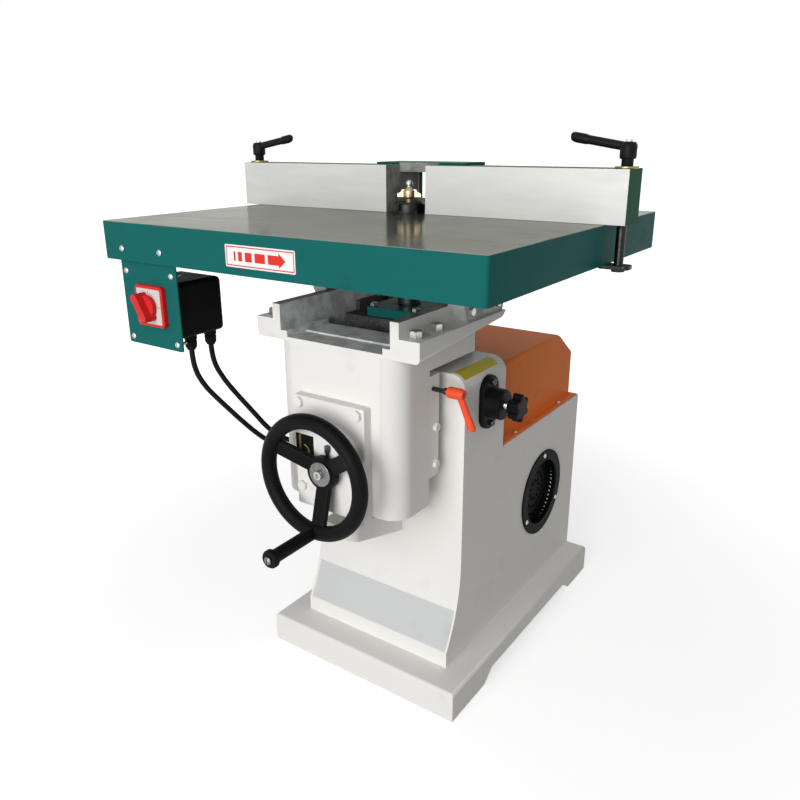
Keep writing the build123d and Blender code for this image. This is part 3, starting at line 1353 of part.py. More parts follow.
def lift_nut_gear():
    """Bevel wheel on the lift screw: it turns in the carriage's web and carries it on a flange."""
    bore = LIFT_SCREW_RADIUS + RUNNING
    wheel = Rot(0, 0, 180 / GEAR_TEETH) * bevel_gear(bore)
    gear_back = -GEAR_PITCH_RADIUS - 4
    web_bottom = WEB_BOTTOM - SHAFT_Z
    hub = turned([
        (bore, web_bottom - TURNING), (NUT_HUB_RADIUS, web_bottom - TURNING),
        (NUT_HUB_RADIUS, gear_back), (bore, gear_back),
    ])
    flange = turned([
        (bore, web_bottom - NUT_FLANGE), (NUT_FLANGE_RADIUS, web_bottom - NUT_FLANGE),
        (NUT_FLANGE_RADIUS, web_bottom - TURNING), (bore, web_bottom - TURNING),
    ])
    return Pos(0, SCREW_Y, SHAFT_Z) * (wheel + hub + flange)


def grip_bolt():
    """Bolt on which the grip turns, its slotted head let into the grip's end."""
    screw = slotted_screw(6.5, 4, GRIP_BOLT_RADIUS, GRIP_LENGTH + TURNING + RIM_RADIUS)
    return facing((0, GRIP_ROOT - GRIP_LENGTH - 2 * TURNING, GRIP_Z), (0, -1, 0), screw)


def crank_grip():
    bore = GRIP_BOLT_RADIUS + RUNNING
    body = turned([
        (bore, TURNING), (GRIP_RADIUS - 1, TURNING), (GRIP_RADIUS, 0.04 * GRIP_LENGTH),
        (GRIP_RADIUS, 0.8 * GRIP_LENGTH), (GRIP_RADIUS + 1, 0.86 * GRIP_LENGTH),
        (GRIP_END_RADIUS, 0.9 * GRIP_LENGTH), (GRIP_END_RADIUS, 0.97 * GRIP_LENGTH),
        (GRIP_END_RADIUS - 2, GRIP_LENGTH), (bore, GRIP_LENGTH),
    ])
    return facing((0, GRIP_ROOT, GRIP_Z), (0, -1, 0), body)


# Saddles and table


def saddle():
    """Right saddle block between the carriage's ear and the table."""
    front = SADDLE_FRONT
    back = front + SADDLE_LENGTH
    body = prism_x(
        [
            (front, EAR_TOP), (back, EAR_TOP), (back + SADDLE_LEAN / 2, TABLE_BOTTOM),
            (front - SADDLE_LEAN, TABLE_BOTTOM),
        ],
        (CARRIAGE_SIDE, SADDLE_SIDE),
    )
    for y in saddle_bolt_places():
        body -= rod(BOLT_RADIUS + SEAT, (CARRIAGE_SIDE, y, saddle_bolt_height()), (1, 0, 0), SADDLE_WIDTH)
    middle = SADDLE_FRONT + SADDLE_LENGTH / 2
    body -= rod(5, (SADDLE_SIDE - 12, middle, saddle_bolt_height()), (1, 0, 0), 12)
    return body


def saddle_bolt_places():
    return (SADDLE_FRONT + 10, SADDLE_FRONT + SADDLE_LENGTH - 22)


def saddle_bolt_height():
    return EAR_TOP + SADDLE_BOLT_RISE


def saddle_bolts():
    bolt = hex_bolt(BOLT_FLATS, BOLT_HEAD, BOLT_RADIUS, SADDLE_WIDTH - THREAD_SHORT)
    right = [
        facing((SADDLE_SIDE, y, saddle_bolt_height()), (1, 0, 0), bolt) for y in saddle_bolt_places()
    ]
    return Compound(right + [mirrored(bolt) for bolt in right])


def ear_bolts():
    bolt = hex_bolt(EAR_BOLT_FLATS, EAR_BOLT_HEAD, EAR_BOLT_RADIUS, EAR_BOLT_HOLE - BLIND_END)
    return Compound([Pos(x, y, EAR_TOP) * bolt for x, y in ear_bolt_places()])


def table():
    """Ribbed casting: a plate with an apron, pads for the saddles and a boss round the spindle hole."""
    half = TABLE_WIDTH / 2
    front = -TABLE_FRONT
    back = front + TABLE_DEPTH
    body = block(sides(half), (front, back), (TABLE_BOTTOM, TABLE_TOP))
    body = fillet(body.edges().filter_by(Axis.Z), TABLE_CORNER)
    body = chamfer(body.edges().group_by(Axis.Z)[-1], 1)
    under = TABLE_TOP - TABLE_PLATE
    body -= block(
        sides(half - APRON_WALL), (front + APRON_WALL, back - APRON_WALL), (TABLE_BOTTOM, under)
    )
    rib_bottom = TABLE_TOP - RIB_HEIGHT
    saddle_front = SADDLE_FRONT - SADDLE_LEAN - PAD_MARGIN
    saddle_back = SADDLE_FRONT + SADDLE_LENGTH + SADDLE_LEAN / 2 + PAD_MARGIN
    for side in (-1, 1):
        pad = sorted((side * (CARRIAGE_SIDE - PAD_MARGIN), side * (SADDLE_SIDE + PAD_MARGIN)))
        body += block(pad, (saddle_front, saddle_back), (TABLE_BOTTOM, under + 1))
        middle = side * (CARRIAGE_SIDE + SADDLE_SIDE) / 2
        body += block(
            (middle - RIB / 2, middle + RIB / 2), (front + 1, back - 1), (rib_bottom, under + 1)
        )
    for y in (saddle_front, saddle_back):
        body += block(sides(half - 1), (y - RIB / 2, y + RIB / 2), (rib_bottom, under + 1))
    body += rod(TABLE_BOSS, (0, SPINDLE_Y, TABLE_TOP - BOSS_HEIGHT), (0, 0, 1), BOSS_HEIGHT - 1)
    body -= rod(TABLE_BORE, (0, SPINDLE_Y, TABLE_BOTTOM), (0, 0, 1), TABLE_APRON)
    for x, z in apron_screw_places():
        body -= rod(SCREW_RADIUS + SEAT, (x, front, z), (0, 1, 0), APRON_WALL)
    return body


# Switch on its plate


def apron_screw_places():
    x = SWITCH_PLATE_WIDTH / 2 - 21
    return [(SWITCH_PLATE_X + side * x, TABLE_BOTTOM + SWITCH_PLATE_LAP / 2) for side in (-1, 1)]


def plate_screw_places():
    half = PLATE_SCREW_SPACING / 2
    top = TABLE_BOTTOM - 18
    return [
        (SWITCH_PLATE_X + side * half, z) for side in (-1, 1) for z in (top - PLATE_SCREW_SPACING, top)
    ]


def switch_plate():
    half = SWITCH_PLATE_WIDTH / 2
    plate = block(
        (SWITCH_PLATE_X - half, SWITCH_PLATE_X + half),
        (SWITCH_PLATE_Y, BOX_FRONT),
        (TABLE_BOTTOM - SWITCH_PLATE_DROP, TABLE_BOTTOM + SWITCH_PLATE_LAP),
    )
    plate = fillet(plate.edges().filter_by(Axis.Y), 4)
    for x, z in apron_screw_places() + plate_screw_places():
        plate -= rod(SCREW_RADIUS + SEAT, (x, SWITCH_PLATE_Y, z), (0, 1, 0), SWITCH_PLATE)
    return plate - rod(12, (SWITCH_X, SWITCH_PLATE_Y, SWITCH_Z), (0, 1, 0), SWITCH_PLATE)


def panel_screws():
    """Two screws hold the plate behind the apron, and four more stand at its corners."""
    apron = panel_screw(APRON_WALL + SWITCH_PLATE + APRON_SCREW_REACH)
    corner = panel_screw(SWITCH_PLATE + CORNER_SCREW_REACH)
    screws = [facing((x, -TABLE_FRONT, z), (0, -1, 0), apron) for x, z in apron_screw_places()]
    screws += [facing((x, SWITCH_PLATE_Y, z), (0, -1, 0), corner) for x, z in plate_screw_places()]
    return Compound(screws)


def switch_box():
    box = block(
        (BOX_RIGHT - BOX_WIDTH, BOX_RIGHT), (BOX_FRONT, BOX_FRONT + BOX_DEPTH), (BOX_BOTTOM, BOX_TOP)
    )
    return fillet(box.edges() - box.edges().group_by(Axis.Y)[0], BOX_CORNER)


def switch_bezel():
    """Square red frame, with a shallow recess for the face plate behind the knob."""
    half_x = BEZEL_WIDTH / 2
    half_z = BEZEL_HEIGHT / 2
    x = (SWITCH_X - half_x, SWITCH_X + half_x)
    frame = block(x, (SWITCH_PLATE_Y - BEZEL, SWITCH_PLATE_Y), (SWITCH_Z - half_z, SWITCH_Z + half_z))
    frame = fillet(frame.edges().filter_by(Axis.Y), 7)
    frame = fillet(frame.edges().group_by(Axis.Y)[0], 2)
    front = SWITCH_PLATE_Y - BEZEL
    in_x = half_x - BEZEL_BORDER
    in_z = half_z - BEZEL_BORDER
    recess = block(
        (SWITCH_X - in_x, SWITCH_X + in_x), (front, front + FACE_RECESS), (SWITCH_Z - in_z, SWITCH_Z + in_z)
    )
    return frame - fillet(recess.edges().filter_by(Axis.Y), BEZEL_BORDER / 2)


def switch_knob():
    """Rotary knob: a round base with a thick finger bar across it."""
    base = rod(KNOB_RADIUS, (0, 0, 0), (0, 0, 1), KNOB_BASE)
    half = KNOB_BAR / 2
    wide = KNOB_BAR_WIDTH / 2
    bar = block(sides(wide), sides(half), (0, KNOB_BASE + KNOB_BAR_DEPTH))
    bar = fillet(bar.edges().filter_by(Axis.Z), 0.7 * wide)
    bar = fillet(bar.edges().group_by(Axis.Z)[-1], 2)
    place = Plane(
        origin=(SWITCH_X, SWITCH_PLATE_Y - BEZEL - TURNING, SWITCH_Z), x_dir=(1, 0, 0), z_dir=(0, -1, 0)
    )
    return place * (Rot(0, 0, KNOB_TILT) * (base + bar))


def switch_glands():
    """Two cable glands under the box, each with a ribbed nut."""
    glands = []
    for y in GLAND_Y:
        glands.append(turned(
            [
                (0, BOX_BOTTOM), (GLAND_RADIUS, BOX_BOTTOM), (GLAND_RADIUS, BOX_BOTTOM - 0.3 * GLAND),
                (0.85 * GLAND_RADIUS, BOX_BOTTOM - 0.35 * GLAND),
                (0.95 * GLAND_RADIUS, BOX_BOTTOM - 0.45 * GLAND),
                (0.9 * GLAND_RADIUS, BOX_BOTTOM - 0.8 * GLAND),
                (CABLE_RADIUS + 2, GLAND_BOTTOM), (0, GLAND_BOTTOM),
            ],
            (GLAND_X, y, 0),
        ))
    return Compound(glands)


def cable_entries():
    """Rubber grommets where the cables go into the carriage's left side."""
    profile = [
        (0, 0), (GROMMET_RADIUS, 0), (GROMMET_RADIUS, 3), (0.75 * GROMMET_RADIUS, GROMMET), (0, GROMMET),
    ]
    return Compound([
        turned(profile, (-CARRIAGE_SIDE, GROMMET_Y, z), (-1, 0, 0)) for z in GROMMET_Z
    ])


def cable(gland_y, grommet_z):
    """Round cable that drops from its gland and slants over to its grommet, in runs joined by wide arcs."""
    start = Vector(GLAND_X, gland_y, GLAND_BOTTOM)
    end = Vector(-CARRIAGE_SIDE - GROMMET, GROMMET_Y, grommet_z)
    span = end - start
    runs = [start + Vector(across * span.X, across * span.Y, down * span.Z) for across, down in CABLE_RUN]
    points = [start, *runs, end]
    radii = []
    for before, corner, after in zip(points, points[1:], points[2:]):
        turn = radians((corner - before).get_angle(after - corner))
        shorter = min((corner - before).length, (after - corner).length)
        radii.append(0.45 * shorter / tan(turn / 2))
    path = FilletPolyline(*points, radius=radii)
    start = Plane(origin=points[0], z_dir=points[1] - points[0])
    return sweep(start * Circle(CABLE_RADIUS), path=path)


def cable_front():
    return cable(GLAND_Y[0], GROMMET_Z[0])


def cable_rear():
    return cable(GLAND_Y[1], GROMMET_Z[1])


# Fence and clamps


def fence():
    """One-piece fence: a face on each side of the throat and a hood with the dust outlet behind it."""
    half = FENCE_LENGTH / 2
    body = block(sides(half), (FENCE_FACE, FENCE_BACK), (FENCE_BOTTOM, FENCE_TOP))
    body += block(sides(HOOD_WIDTH / 2), (FENCE_FACE + THROAT_DEPTH, HOOD_BACK), (FENCE_BOTTOM, HOOD_TOP))
    throat_half = THROAT / 2
    body -= block(sides(throat_half), (FENCE_FACE, FENCE_FACE + THROAT_DEPTH), (FENCE_BOTTOM, HOOD_TOP))
    body -= block(
        sides(throat_half),
        (FENCE_FACE, HOOD_BACK - HOOD_WALL),
        (FENCE_BOTTOM, HOOD_TOP - HOOD_ROOF),
    )
    body -= block(
        sides(OUTLET_WIDTH / 2),
        (HOOD_BACK - HOOD_WALL, HOOD_BACK),
        (FENCE_BOTTOM + OUTLET_SILL, HOOD_TOP - HOOD_ROOF - 3),
    )
    # Pockets that lighten the casting from behind
    start = HOOD_WIDTH / 2 + FENCE_RIB
    end = half - FENCE_END
    middle = (start + end) / 2
    for near, far in ((start, middle - FENCE_RIB / 2), (middle + FENCE_RIB / 2, end)):
        pocket = block(
            (near, far),
            (FENCE_FACE + FENCE_WALL, FENCE_BACK),
            (FENCE_BOTTOM + FENCE_WALL, FENCE_TOP - FENCE_WALL),
        )
        body -= pocket + mirrored(pocket)
    for side in (-1, 1):
        body -= rod(ROD_RADIUS + 2 * SEAT, (side * ROD_X, ROD_Y, FENCE_BOTTOM), (0, 0, 1), FENCE_HEIGHT)
    return body


def clamp_rods():
    """Threaded rods through the fence's ends, each with a foot that grips below the table's edge."""
    foot_top = TABLE_BOTTOM - SLIDING
    foot_bottom = foot_top - FOOT
    top = LEVER_BOTTOM + CLAMP_STEM + 0.6 * CLAMP_HUB
    inner = ROD_X - FOOT_INWARD
    foot = block(
        (inner, inner + FOOT_LENGTH),
        (ROD_Y - FOOT_WIDTH / 2, ROD_Y + FOOT_WIDTH / 2),
        (foot_bottom, foot_top),
    )
    foot = fillet(foot.edges().filter_by(Axis.Z), FOOT_WIDTH / 3)
    nut = rod(ROD_RADIUS + 3, (ROD_X, ROD_Y, foot_bottom - 4), (0, 0, 1), FOOT)
    right = foot + nut + rod(ROD_RADIUS, (ROD_X, ROD_Y, foot_bottom), (0, 0, 1), top - foot_bottom)
    return Compound([right, mirrored(right)])


def clamp_washers():
    ring = rod(CLAMP_WASHER_RADIUS, (ROD_X, ROD_Y, FENCE_TOP), (0, 0, 1), CLAMP_WASHER)
    ring -= rod(ROD_RADIUS + SEAT, (ROD_X, ROD_Y, FENCE_TOP), (0, 0, 1), CLAMP_WASHER)
    return Compound([ring, mirrored(ring)])


def clamp_lever():
    """Right clamping lever, its handle pointing inwards along the fence."""
    stem = rod(CLAMP_STEM_RADIUS, (0, 0, 0), (0, 0, 1), CLAMP_STEM + 1)
    head = clamp_handle(CLAMP_HUB_RADIUS, CLAMP_HUB, CLAMP_REACH, CLAMP_RISE, CLAMP_HANDLE)
    cap = rod(5, (0, 0, CLAMP_HUB - 1), (0, 0, 1), 5)
    body = stem + Pos(0, 0, CLAMP_STEM) * (head + cap)
    body -= rod(ROD_RADIUS + RUNNING, (0, 0, 0), (0, 0, 1), CLAMP_STEM + 0.6 * CLAMP_HUB + TURNING)
    return Pos(ROD_X, ROD_Y, LEVER_BOTTOM) * Rot(0, 0, 180) * body


PIECES = [
    pedestal_base, pedestal, lift_bracket, lift_screw,
    spindle_housing, spindle_housing_bolts, spindle_bearings,
    motor_frame, motor_plate, motor_bolts, drive_belt, belt_cover, vent_cover, cover_screws,
    lock_flange, lock_pin, lock_knob,
    carriage, gear_cover, gear_cover_bolts, shaft_bush, shaft_lock_screw, keeper_bar, keeper_bolts,
    lift_lock_stud, lift_lock_lever, saddle_bolts, ear_bolts, table,
    handwheel, handwheel_shaft, hub_washer, hub_screw, bevel_pinion, grip_bolt, crank_grip, lift_nut_gear,
    spindle, spindle_pulley, collet_nut, cutter, pilot_bearing, motor_rotor, motor_pulley,
    switch_plate, panel_screws, switch_box, switch_bezel, switch_knob, switch_glands, cable_entries,
    cable_front, cable_rear, fence, clamp_rods, clamp_washers,
]

solids = {piece.__name__: piece() for piece in PIECES}
solids["saddle_right"] = saddle()
solids["saddle_left"] = mirrored(solids["saddle_right"])
solids["clamp_lever_right"] = clamp_lever()
solids["clamp_lever_left"] = mirrored(solids["clamp_lever_right"])

os.makedirs("parts", exist_ok=True)
for name, solid in solids.items():
    export_step(solid, f"parts/{name}.step")
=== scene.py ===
from math import cos, radians, sin

import bmesh
import bpy
from mathutils import Matrix, Vector


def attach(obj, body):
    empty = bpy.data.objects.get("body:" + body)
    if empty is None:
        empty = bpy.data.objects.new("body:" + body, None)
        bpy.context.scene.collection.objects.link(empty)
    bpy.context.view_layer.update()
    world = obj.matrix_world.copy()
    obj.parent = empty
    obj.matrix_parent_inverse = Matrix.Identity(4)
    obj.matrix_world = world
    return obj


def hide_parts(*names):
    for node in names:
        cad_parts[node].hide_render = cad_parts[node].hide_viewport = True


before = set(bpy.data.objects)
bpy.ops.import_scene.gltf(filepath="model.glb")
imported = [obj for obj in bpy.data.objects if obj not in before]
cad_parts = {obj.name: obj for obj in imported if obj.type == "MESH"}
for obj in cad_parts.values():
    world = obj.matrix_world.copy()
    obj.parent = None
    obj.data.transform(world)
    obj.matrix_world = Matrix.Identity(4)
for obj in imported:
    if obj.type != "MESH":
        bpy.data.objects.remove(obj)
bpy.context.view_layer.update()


# Pedestal: two iron castings, a footed base and on it the tower with the motor room. They are
# filled, rubbed down and sprayed with white enamel, and a bracket on the front holds the lift screw.
def add_node(tree, kind, settings=None, **inputs):
    """A shader node whose inputs are set to values or linked to sockets."""
    node = tree.nodes.new("ShaderNode" + kind)
    for key, value in (settings or {}).items():
        setattr(node, key, value)
    for key, value in inputs.items():
        connect(tree, value, node.inputs[key.replace("_", " ")])
    return node


def connect(tree, value, socket):
    """Links a socket to another one, or sets it to a plain value."""
    if isinstance(value, bpy.types.NodeSocket):
        tree.links.new(value, socket)
    else:
        socket.default_value = value


def worked_out(tree, operation, first, second=0.0):
    """One step of arithmetic on two values."""
    node = tree.nodes.new("ShaderNodeMath")
    node.operation = operation
    connect(tree, first, node.inputs[0])
    connect(tree, second, node.inputs[1])
    return node.outputs[0]


def share_of(tree, value, share):
    """A value times a share."""
    return worked_out(tree, "MULTIPLY", value, share)


def with_share(tree, base, extra, share):
    """A value plus a share of another."""
    return worked_out(tree, "ADD", base, share_of(tree, extra, share))


def mixed(tree, share, first, second):
    """A colour between two colours, by the colour sockets of a mix node."""
    node = tree.nodes.new("ShaderNodeMix")
    node.data_type = "RGBA"
    connect(tree, share, node.inputs[0])
    connect(tree, first, node.inputs[6])
    connect(tree, second, node.inputs[7])
    return node.outputs[2]


def stepped(tree, value, low, high):
    """0 below low, 1 above high, and a soft rise between them."""
    smooth = {"interpolation_type": "SMOOTHSTEP"}
    return add_node(tree, "MapRange", smooth, Value=value, From_Min=low, From_Max=high).outputs[0]


def grain(tree, scale, detail=2.0):
    """Noise in the object's own place."""
    place = add_node(tree, "TexCoord").outputs["Object"]
    return add_node(tree, "TexNoise", Vector=place, Scale=scale, Detail=detail).outputs[0]


def skin_group(name, **inputs):
    """An empty node group for a finish: its tree, what it is given and what it results in."""
    tree = bpy.data.node_groups.new(name, "ShaderNodeTree")
    kinds = {"colour": "NodeSocketColor", "value": "NodeSocketFloat", "place": "NodeSocketVector"}
    for title, kind in inputs.items():
        tree.interface.new_socket(title, in_out="INPUT", socket_type=kinds[kind])
    for title, kind in (("Colour", "colour"), ("Rough", "value"), ("Height", "value")):
        tree.interface.new_socket(title, in_out="OUTPUT", socket_type=kinds[kind])
    return tree, tree.nodes.new("NodeGroupInput").outputs, tree.nodes.new("NodeGroupOutput").inputs


def place_group(tree, shared, **inputs):
    """Puts a shared finish in a tree, sets what it is given and returns what it results in."""
    node = tree.nodes.new("ShaderNodeGroup")
    node.node_tree = shared
    for key, value in inputs.items():
        connect(tree, value, node.inputs[key])
    return node.outputs


def enamel_group():
    """Sprayed enamel: faint mottle, a few smudges and specks, and orange peel."""
    tree, given, result = skin_group("enamel", Colour="colour", Soil="colour", Smudge="value", Rough="value")
    mottle = stepped(tree, grain(tree, scale=7.0, detail=4.0), low=0.35, high=0.75)
    smudge = stepped(tree, grain(tree, scale=23.0, detail=8.0), low=0.58, high=0.8)
    speck = stepped(tree, grain(tree, scale=170.0), low=0.73, high=0.78)
    soiled = with_share(tree, smudge, mottle, share=0.16)
    soiled = with_share(tree, soiled, speck, share=0.6)
    soil = share_of(tree, soiled, given["Smudge"])
    connect(tree, mixed(tree, soil, given["Colour"], given["Soil"]), result["Colour"])
    connect(tree, with_share(tree, given["Rough"], soiled, share=0.12), result["Rough"])
    peel = with_share(tree, grain(tree, scale=420.0), grain(tree, scale=60.0), share=1.4)
    connect(tree, peel, result["Height"])
    return tree


def blank_finish(name, metallic=0.0, gloss=0.06):
    """A new material, its node tree and its shader."""
    material = bpy.data.materials.new(name)
    material.use_nodes = True
    shader = material.node_tree.nodes["Principled BSDF"]
    shader.inputs["Metallic"].default_value = metallic
    shader.inputs["Specular IOR Level"].default_value = gloss
    return material, material.node_tree, shader


def apply_skin(tree, shader, colour, rough, height, strength, depth=0.0006):
    """Links a colour, a roughness and a relief to the shader."""
    connect(tree, colour, shader.inputs["Base Color"])
    connect(tree, rough, shader.inputs["Roughness"])
    relief = add_node(tree, "Bump", Height=height, Strength=strength, Distance=depth)
    connect(tree, relief.outputs[0], shader.inputs["Normal"])


def spray(tree, shader, colour, soil, smudge, rough, strength):
    """Covers a shader with enamel or film of one colour, or of a printed pattern."""
    skin = place_group(tree, enamel, Colour=colour, Soil=soil, Smudge=smudge, Rough=rough)
    apply_skin(tree, shader, skin["Colour"], skin["Rough"], skin["Height"], strength)


def enamelled(name, colour, soil, smudge=0.35, rough=0.36, strength=0.12, gloss=0.06):
    """A finish in enamel of one colour."""
    material, tree, shader = blank_finish(name, gloss=gloss)
    spray(tree, shader, colour, soil, smudge, rough, strength)
    return material


def dress(material, *nodes, edge=0.0, steps=2):
    """Gives CAD nodes their finish, and eases their sharp edges by the stated radius."""
    for node in nodes:
        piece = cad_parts[node]
        piece.material_slots[0].material = material
        if edge:
            weld = piece.modifiers.new("weld", "WELD")
            weld.merge_threshold = 0.00001
            flat = piece.modifiers.new("flat", "DECIMATE")
            flat.decimate_type = "DISSOLVE"
            flat.angle_limit = radians(0.6)
            ease = piece.modifiers.new("ease", "BEVEL")
            ease.width = edge
            ease.segments = steps
            ease.limit_method = "ANGLE"
            ease.angle_limit = radians(40)
            ease.profile = 0.5
            ease.harden_normals = False


WHITE = (0.80, 0.785, 0.755, 1)
WHITE_SOIL = (0.48, 0.455, 0.41, 1)
WHITE_SMUDGE = 0.16
WHITE_ROUGH = 0.36
enamel = enamel_group()
white_enamel = enamelled("white_enamel", WHITE, WHITE_SOIL, WHITE_SMUDGE, WHITE_ROUGH)
dress(white_enamel, "pedestal_base", "lift_bracket", edge=0.0015)


# Plain strips stuck on the casting: a pale one across the flare, a yellow one over the tower's
# right shoulder. They are coloured film, and follow the curve that they lie on.
FILM_THICKNESS = 0.0002
FILM_LIFT = 0.0003
FILM_RELIEF = 0.03


def fit_piece(bm, name, material, body):
    """Turns a bmesh into a piece that rides on a body."""
    bmesh.ops.remove_doubles(bm, verts=bm.verts, dist=0.000002)
    bmesh.ops.recalc_face_normals(bm, faces=bm.faces)
    mesh = bpy.data.meshes.new(name)
    bm.to_mesh(mesh)
    bm.free()
    mesh.materials.append(material)
    mesh.shade_smooth()
    mesh.set_sharp_from_angle(angle=radians(38))
    piece = bpy.data.objects.new(name, mesh)
    bpy.context.scene.collection.objects.link(piece)
    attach(piece, body)


def curved_strip(name, material, start, span, centre, axis, angle, steps):
    """A strip of film on the pedestal, swept about an axis from a straight edge."""
    bm = bmesh.new()
    first = bm.verts.new(start)
    second = bm.verts.new(Vector(start) + Vector(span))
    edge = bm.edges.new((first, second))
    bmesh.ops.spin(
        bm, geom=[first, second, edge], cent=centre, axis=axis, angle=angle, steps=steps, use_merge=False
    )
    bmesh.ops.recalc_face_normals(bm, faces=bm.faces)
    bmesh.ops.solidify(bm, geom=bm.faces[:], thickness=FILM_THICKNESS)
    fit_piece(bm, name, material, "pedestal")


def printed(name, colour):
    """Printed film: an even colour with a trace of dirt."""
    soil = tuple(0.6 * part for part in colour[:3]) + (1,)
    return enamelled(name, colour, soil, smudge=0.25, rough=0.32, strength=FILM_RELIEF)


FLARE_CENTRE = (0, -0.403, 0.25)
FLARE_RADIUS = 0.310
FLARE_STRIP_LEFT = -0.156
FLARE_STRIP_LENGTH = 0.314
FLARE_STRIP_LOW = radians(31.2)
FLARE_STRIP_HIGH = radians(17.0)
pale_film = printed("pale_film", (0.58, 0.585, 0.59, 1))
low_radius = FLARE_RADIUS - FILM_LIFT
low_corner = (
    FLARE_STRIP_LEFT,
    FLARE_CENTRE[1] + low_radius * cos(FLARE_STRIP_LOW),
    FLARE_CENTRE[2] - low_radius * sin(FLARE_STRIP_LOW),
)
curved_strip(
    "flare_strip", pale_film, low_corner, (FLARE_STRIP_LENGTH, 0, 0), FLARE_CENTRE, axis=(1, 0, 0),
    angle=FLARE_STRIP_LOW - FLARE_STRIP_HIGH, steps=10,
)

SHOULDER_CENTRE = (0.134, -0.03, 0.574)
SHOULDER_RADIUS = 0.028
SHOULDER_STRIP_FRONT = -0.086
SHOULDER_STRIP_LENGTH = 0.118
SHOULDER_STRIP_ANGLE = radians(50)
yellow_film = printed("yellow_film", (0.58, 0.48, 0.03, 1))
shoulder_top = SHOULDER_CENTRE[2] + SHOULDER_RADIUS + FILM_LIFT
curved_strip(
    "shoulder_strip", yellow_film, (SHOULDER_CENTRE[0], SHOULDER_STRIP_FRONT, shoulder_top),
    (0, SHOULDER_STRIP_LENGTH, 0), SHOULDER_CENTRE, axis=(0, 1, 0), angle=SHOULDER_STRIP_ANGLE, steps=8,
)


# Lift screw in its bracket: a turned and ground steel screw on which the lift nut climbs. Bearings,
# shafts and the lock pin are ground in the same way.
TOOL_MARK_DEPTH = 0.0002


def machined_group():
    """Bare metal as a tool left it: fine streaks, a little staining."""
    tree, given, result = skin_group("machined", Place="place", Colour="colour", Dark="colour", Rough="value")
    streak = add_node(tree, "TexNoise", Vector=given["Place"], Scale=1.0, Detail=3.0).outputs[0]
    stain = stepped(tree, grain(tree, scale=9.0, detail=6.0), low=0.4, high=0.8)
    streaked = share_of(tree, stepped(tree, streak, low=0.3, high=0.7), share=0.55)
    dull = with_share(tree, streaked, stain, share=0.4)
    connect(tree, mixed(tree, dull, given["Colour"], given["Dark"]), result["Colour"])
    connect(tree, with_share(tree, given["Rough"], dull, share=0.14), result["Rough"])
    connect(tree, streak, result["Height"])
    return tree


def drawn_place(tree, stretch):
    """The object's own place, scaled so that streaks run where the scale is small."""
    place = add_node(tree, "TexCoord").outputs["Object"]
    return add_node(tree, "Mapping", Vector=place, Scale=stretch).outputs[0]


def bare_metal(name, colour, dark, rough, stretch=(60, 60, 900), strength=0.1):
    """A finish in metal as it comes from the tool or the plating bath."""
    material, tree, shader = blank_finish(name, metallic=1.0)
    place = drawn_place(tree, stretch)
    skin = place_group(tree, machined, Place=place, Colour=colour, Dark=dark, Rough=rough)
    apply_skin(tree, shader, skin["Colour"], skin["Rough"], skin["Height"], strength, TOOL_MARK_DEPTH)
    return material


machined = machined_group()
ground_steel = bare_metal("ground_steel", (0.56, 0.56, 0.55, 1), (0.30, 0.30, 0.30, 1), rough=0.24)
dress(
    ground_steel, "lift_screw", "spindle_bearings", "motor_rotor", "lock_pin", "handwheel_shaft",
    edge=0.0004,
)


# Spindle housing: a square-flanged casting on the tower's neck, painted like the table, held by
# four bright zinc-plated bolts.
TEAL = (0.010, 0.118, 0.110, 1)
TEAL_SOIL = (0.02, 0.062, 0.058, 1)
TEAL_SMUDGE = 0.4
TEAL_GLOSS = 0.015
teal_enamel = enamelled(
    "teal_enamel", TEAL, TEAL_SOIL, TEAL_SMUDGE, rough=0.38, strength=0.14, gloss=TEAL_GLOSS
)
dress(teal_enamel, "spindle_housing", edge=0.001)

ZINC = (0.56, 0.56, 0.545, 1)
ZINC_DARK = (0.34, 0.34, 0.33, 1)
ZINC_ROUGH = 0.34
ZINC_RELIEF = 0.08
EVEN_GRAIN = (300, 300, 300)
bright_zinc = bare_metal("bright_zinc", ZINC, ZINC_DARK, ZINC_ROUGH, EVEN_GRAIN, ZINC_RELIEF)
dress(bright_zinc, "spindle_housing_bolts", "motor_bolts", edge=0.0003)


# Motor and belt drive inside the casting: a finned motor under its plate, cast pulleys and a flat
# rubber belt.
MOULD_GRAIN = 900.0
MOULD_DEPTH = 0.0003


def between(tree, share, first, second):
    """A number between two numbers, by the number sockets of a mix node."""
    node = tree.nodes.new("ShaderNodeMix")
    connect(tree, share, node.inputs[0])
    connect(tree, first, node.inputs[2])
    connect(tree, second, node.inputs[3])
    return node.outputs[0]


def cast_group():
    """Skin of a sand casting: grainy, pitted, with bright grains."""
    tree, given, result = skin_group("cast_skin", Colour="colour", Dark="colour", Bright="colour")
    patches = stepped(tree, grain(tree, scale=40.0, detail=6.0), low=0.35, high=0.7)
    grit = grain(tree, scale=330.0, detail=4.0)
    flecks = stepped(tree, grain(tree, scale=210.0, detail=3.0), low=0.66, high=0.72)
    base = mixed(tree, patches, given["Colour"], given["Dark"])
    connect(tree, mixed(tree, flecks, base, given["Bright"]), result["Colour"])
    connect(tree, between(tree, patches, first=0.42, second=0.62), result["Rough"])
    height = with_share(tree, patches, grit, share=0.5)
    connect(tree, with_share(tree, height, flecks, share=0.6), result["Height"])
    return tree


def as_cast(name, colour, dark, bright, metallic=0.3, strength=0.5):
    """A finish left as it came from the sand."""
    material, tree, shader = blank_finish(name, metallic)
    skin = place_group(tree, cast_skin, Colour=colour, Dark=dark, Bright=bright)
    apply_skin(tree, shader, skin["Colour"], skin["Rough"], skin["Height"], strength)
    return material


def rub_marks(tree):
    """Faint patches where hands and rags have rubbed."""
    return stepped(tree, grain(tree, scale=16.0, detail=5.0), low=0.4, high=0.75)


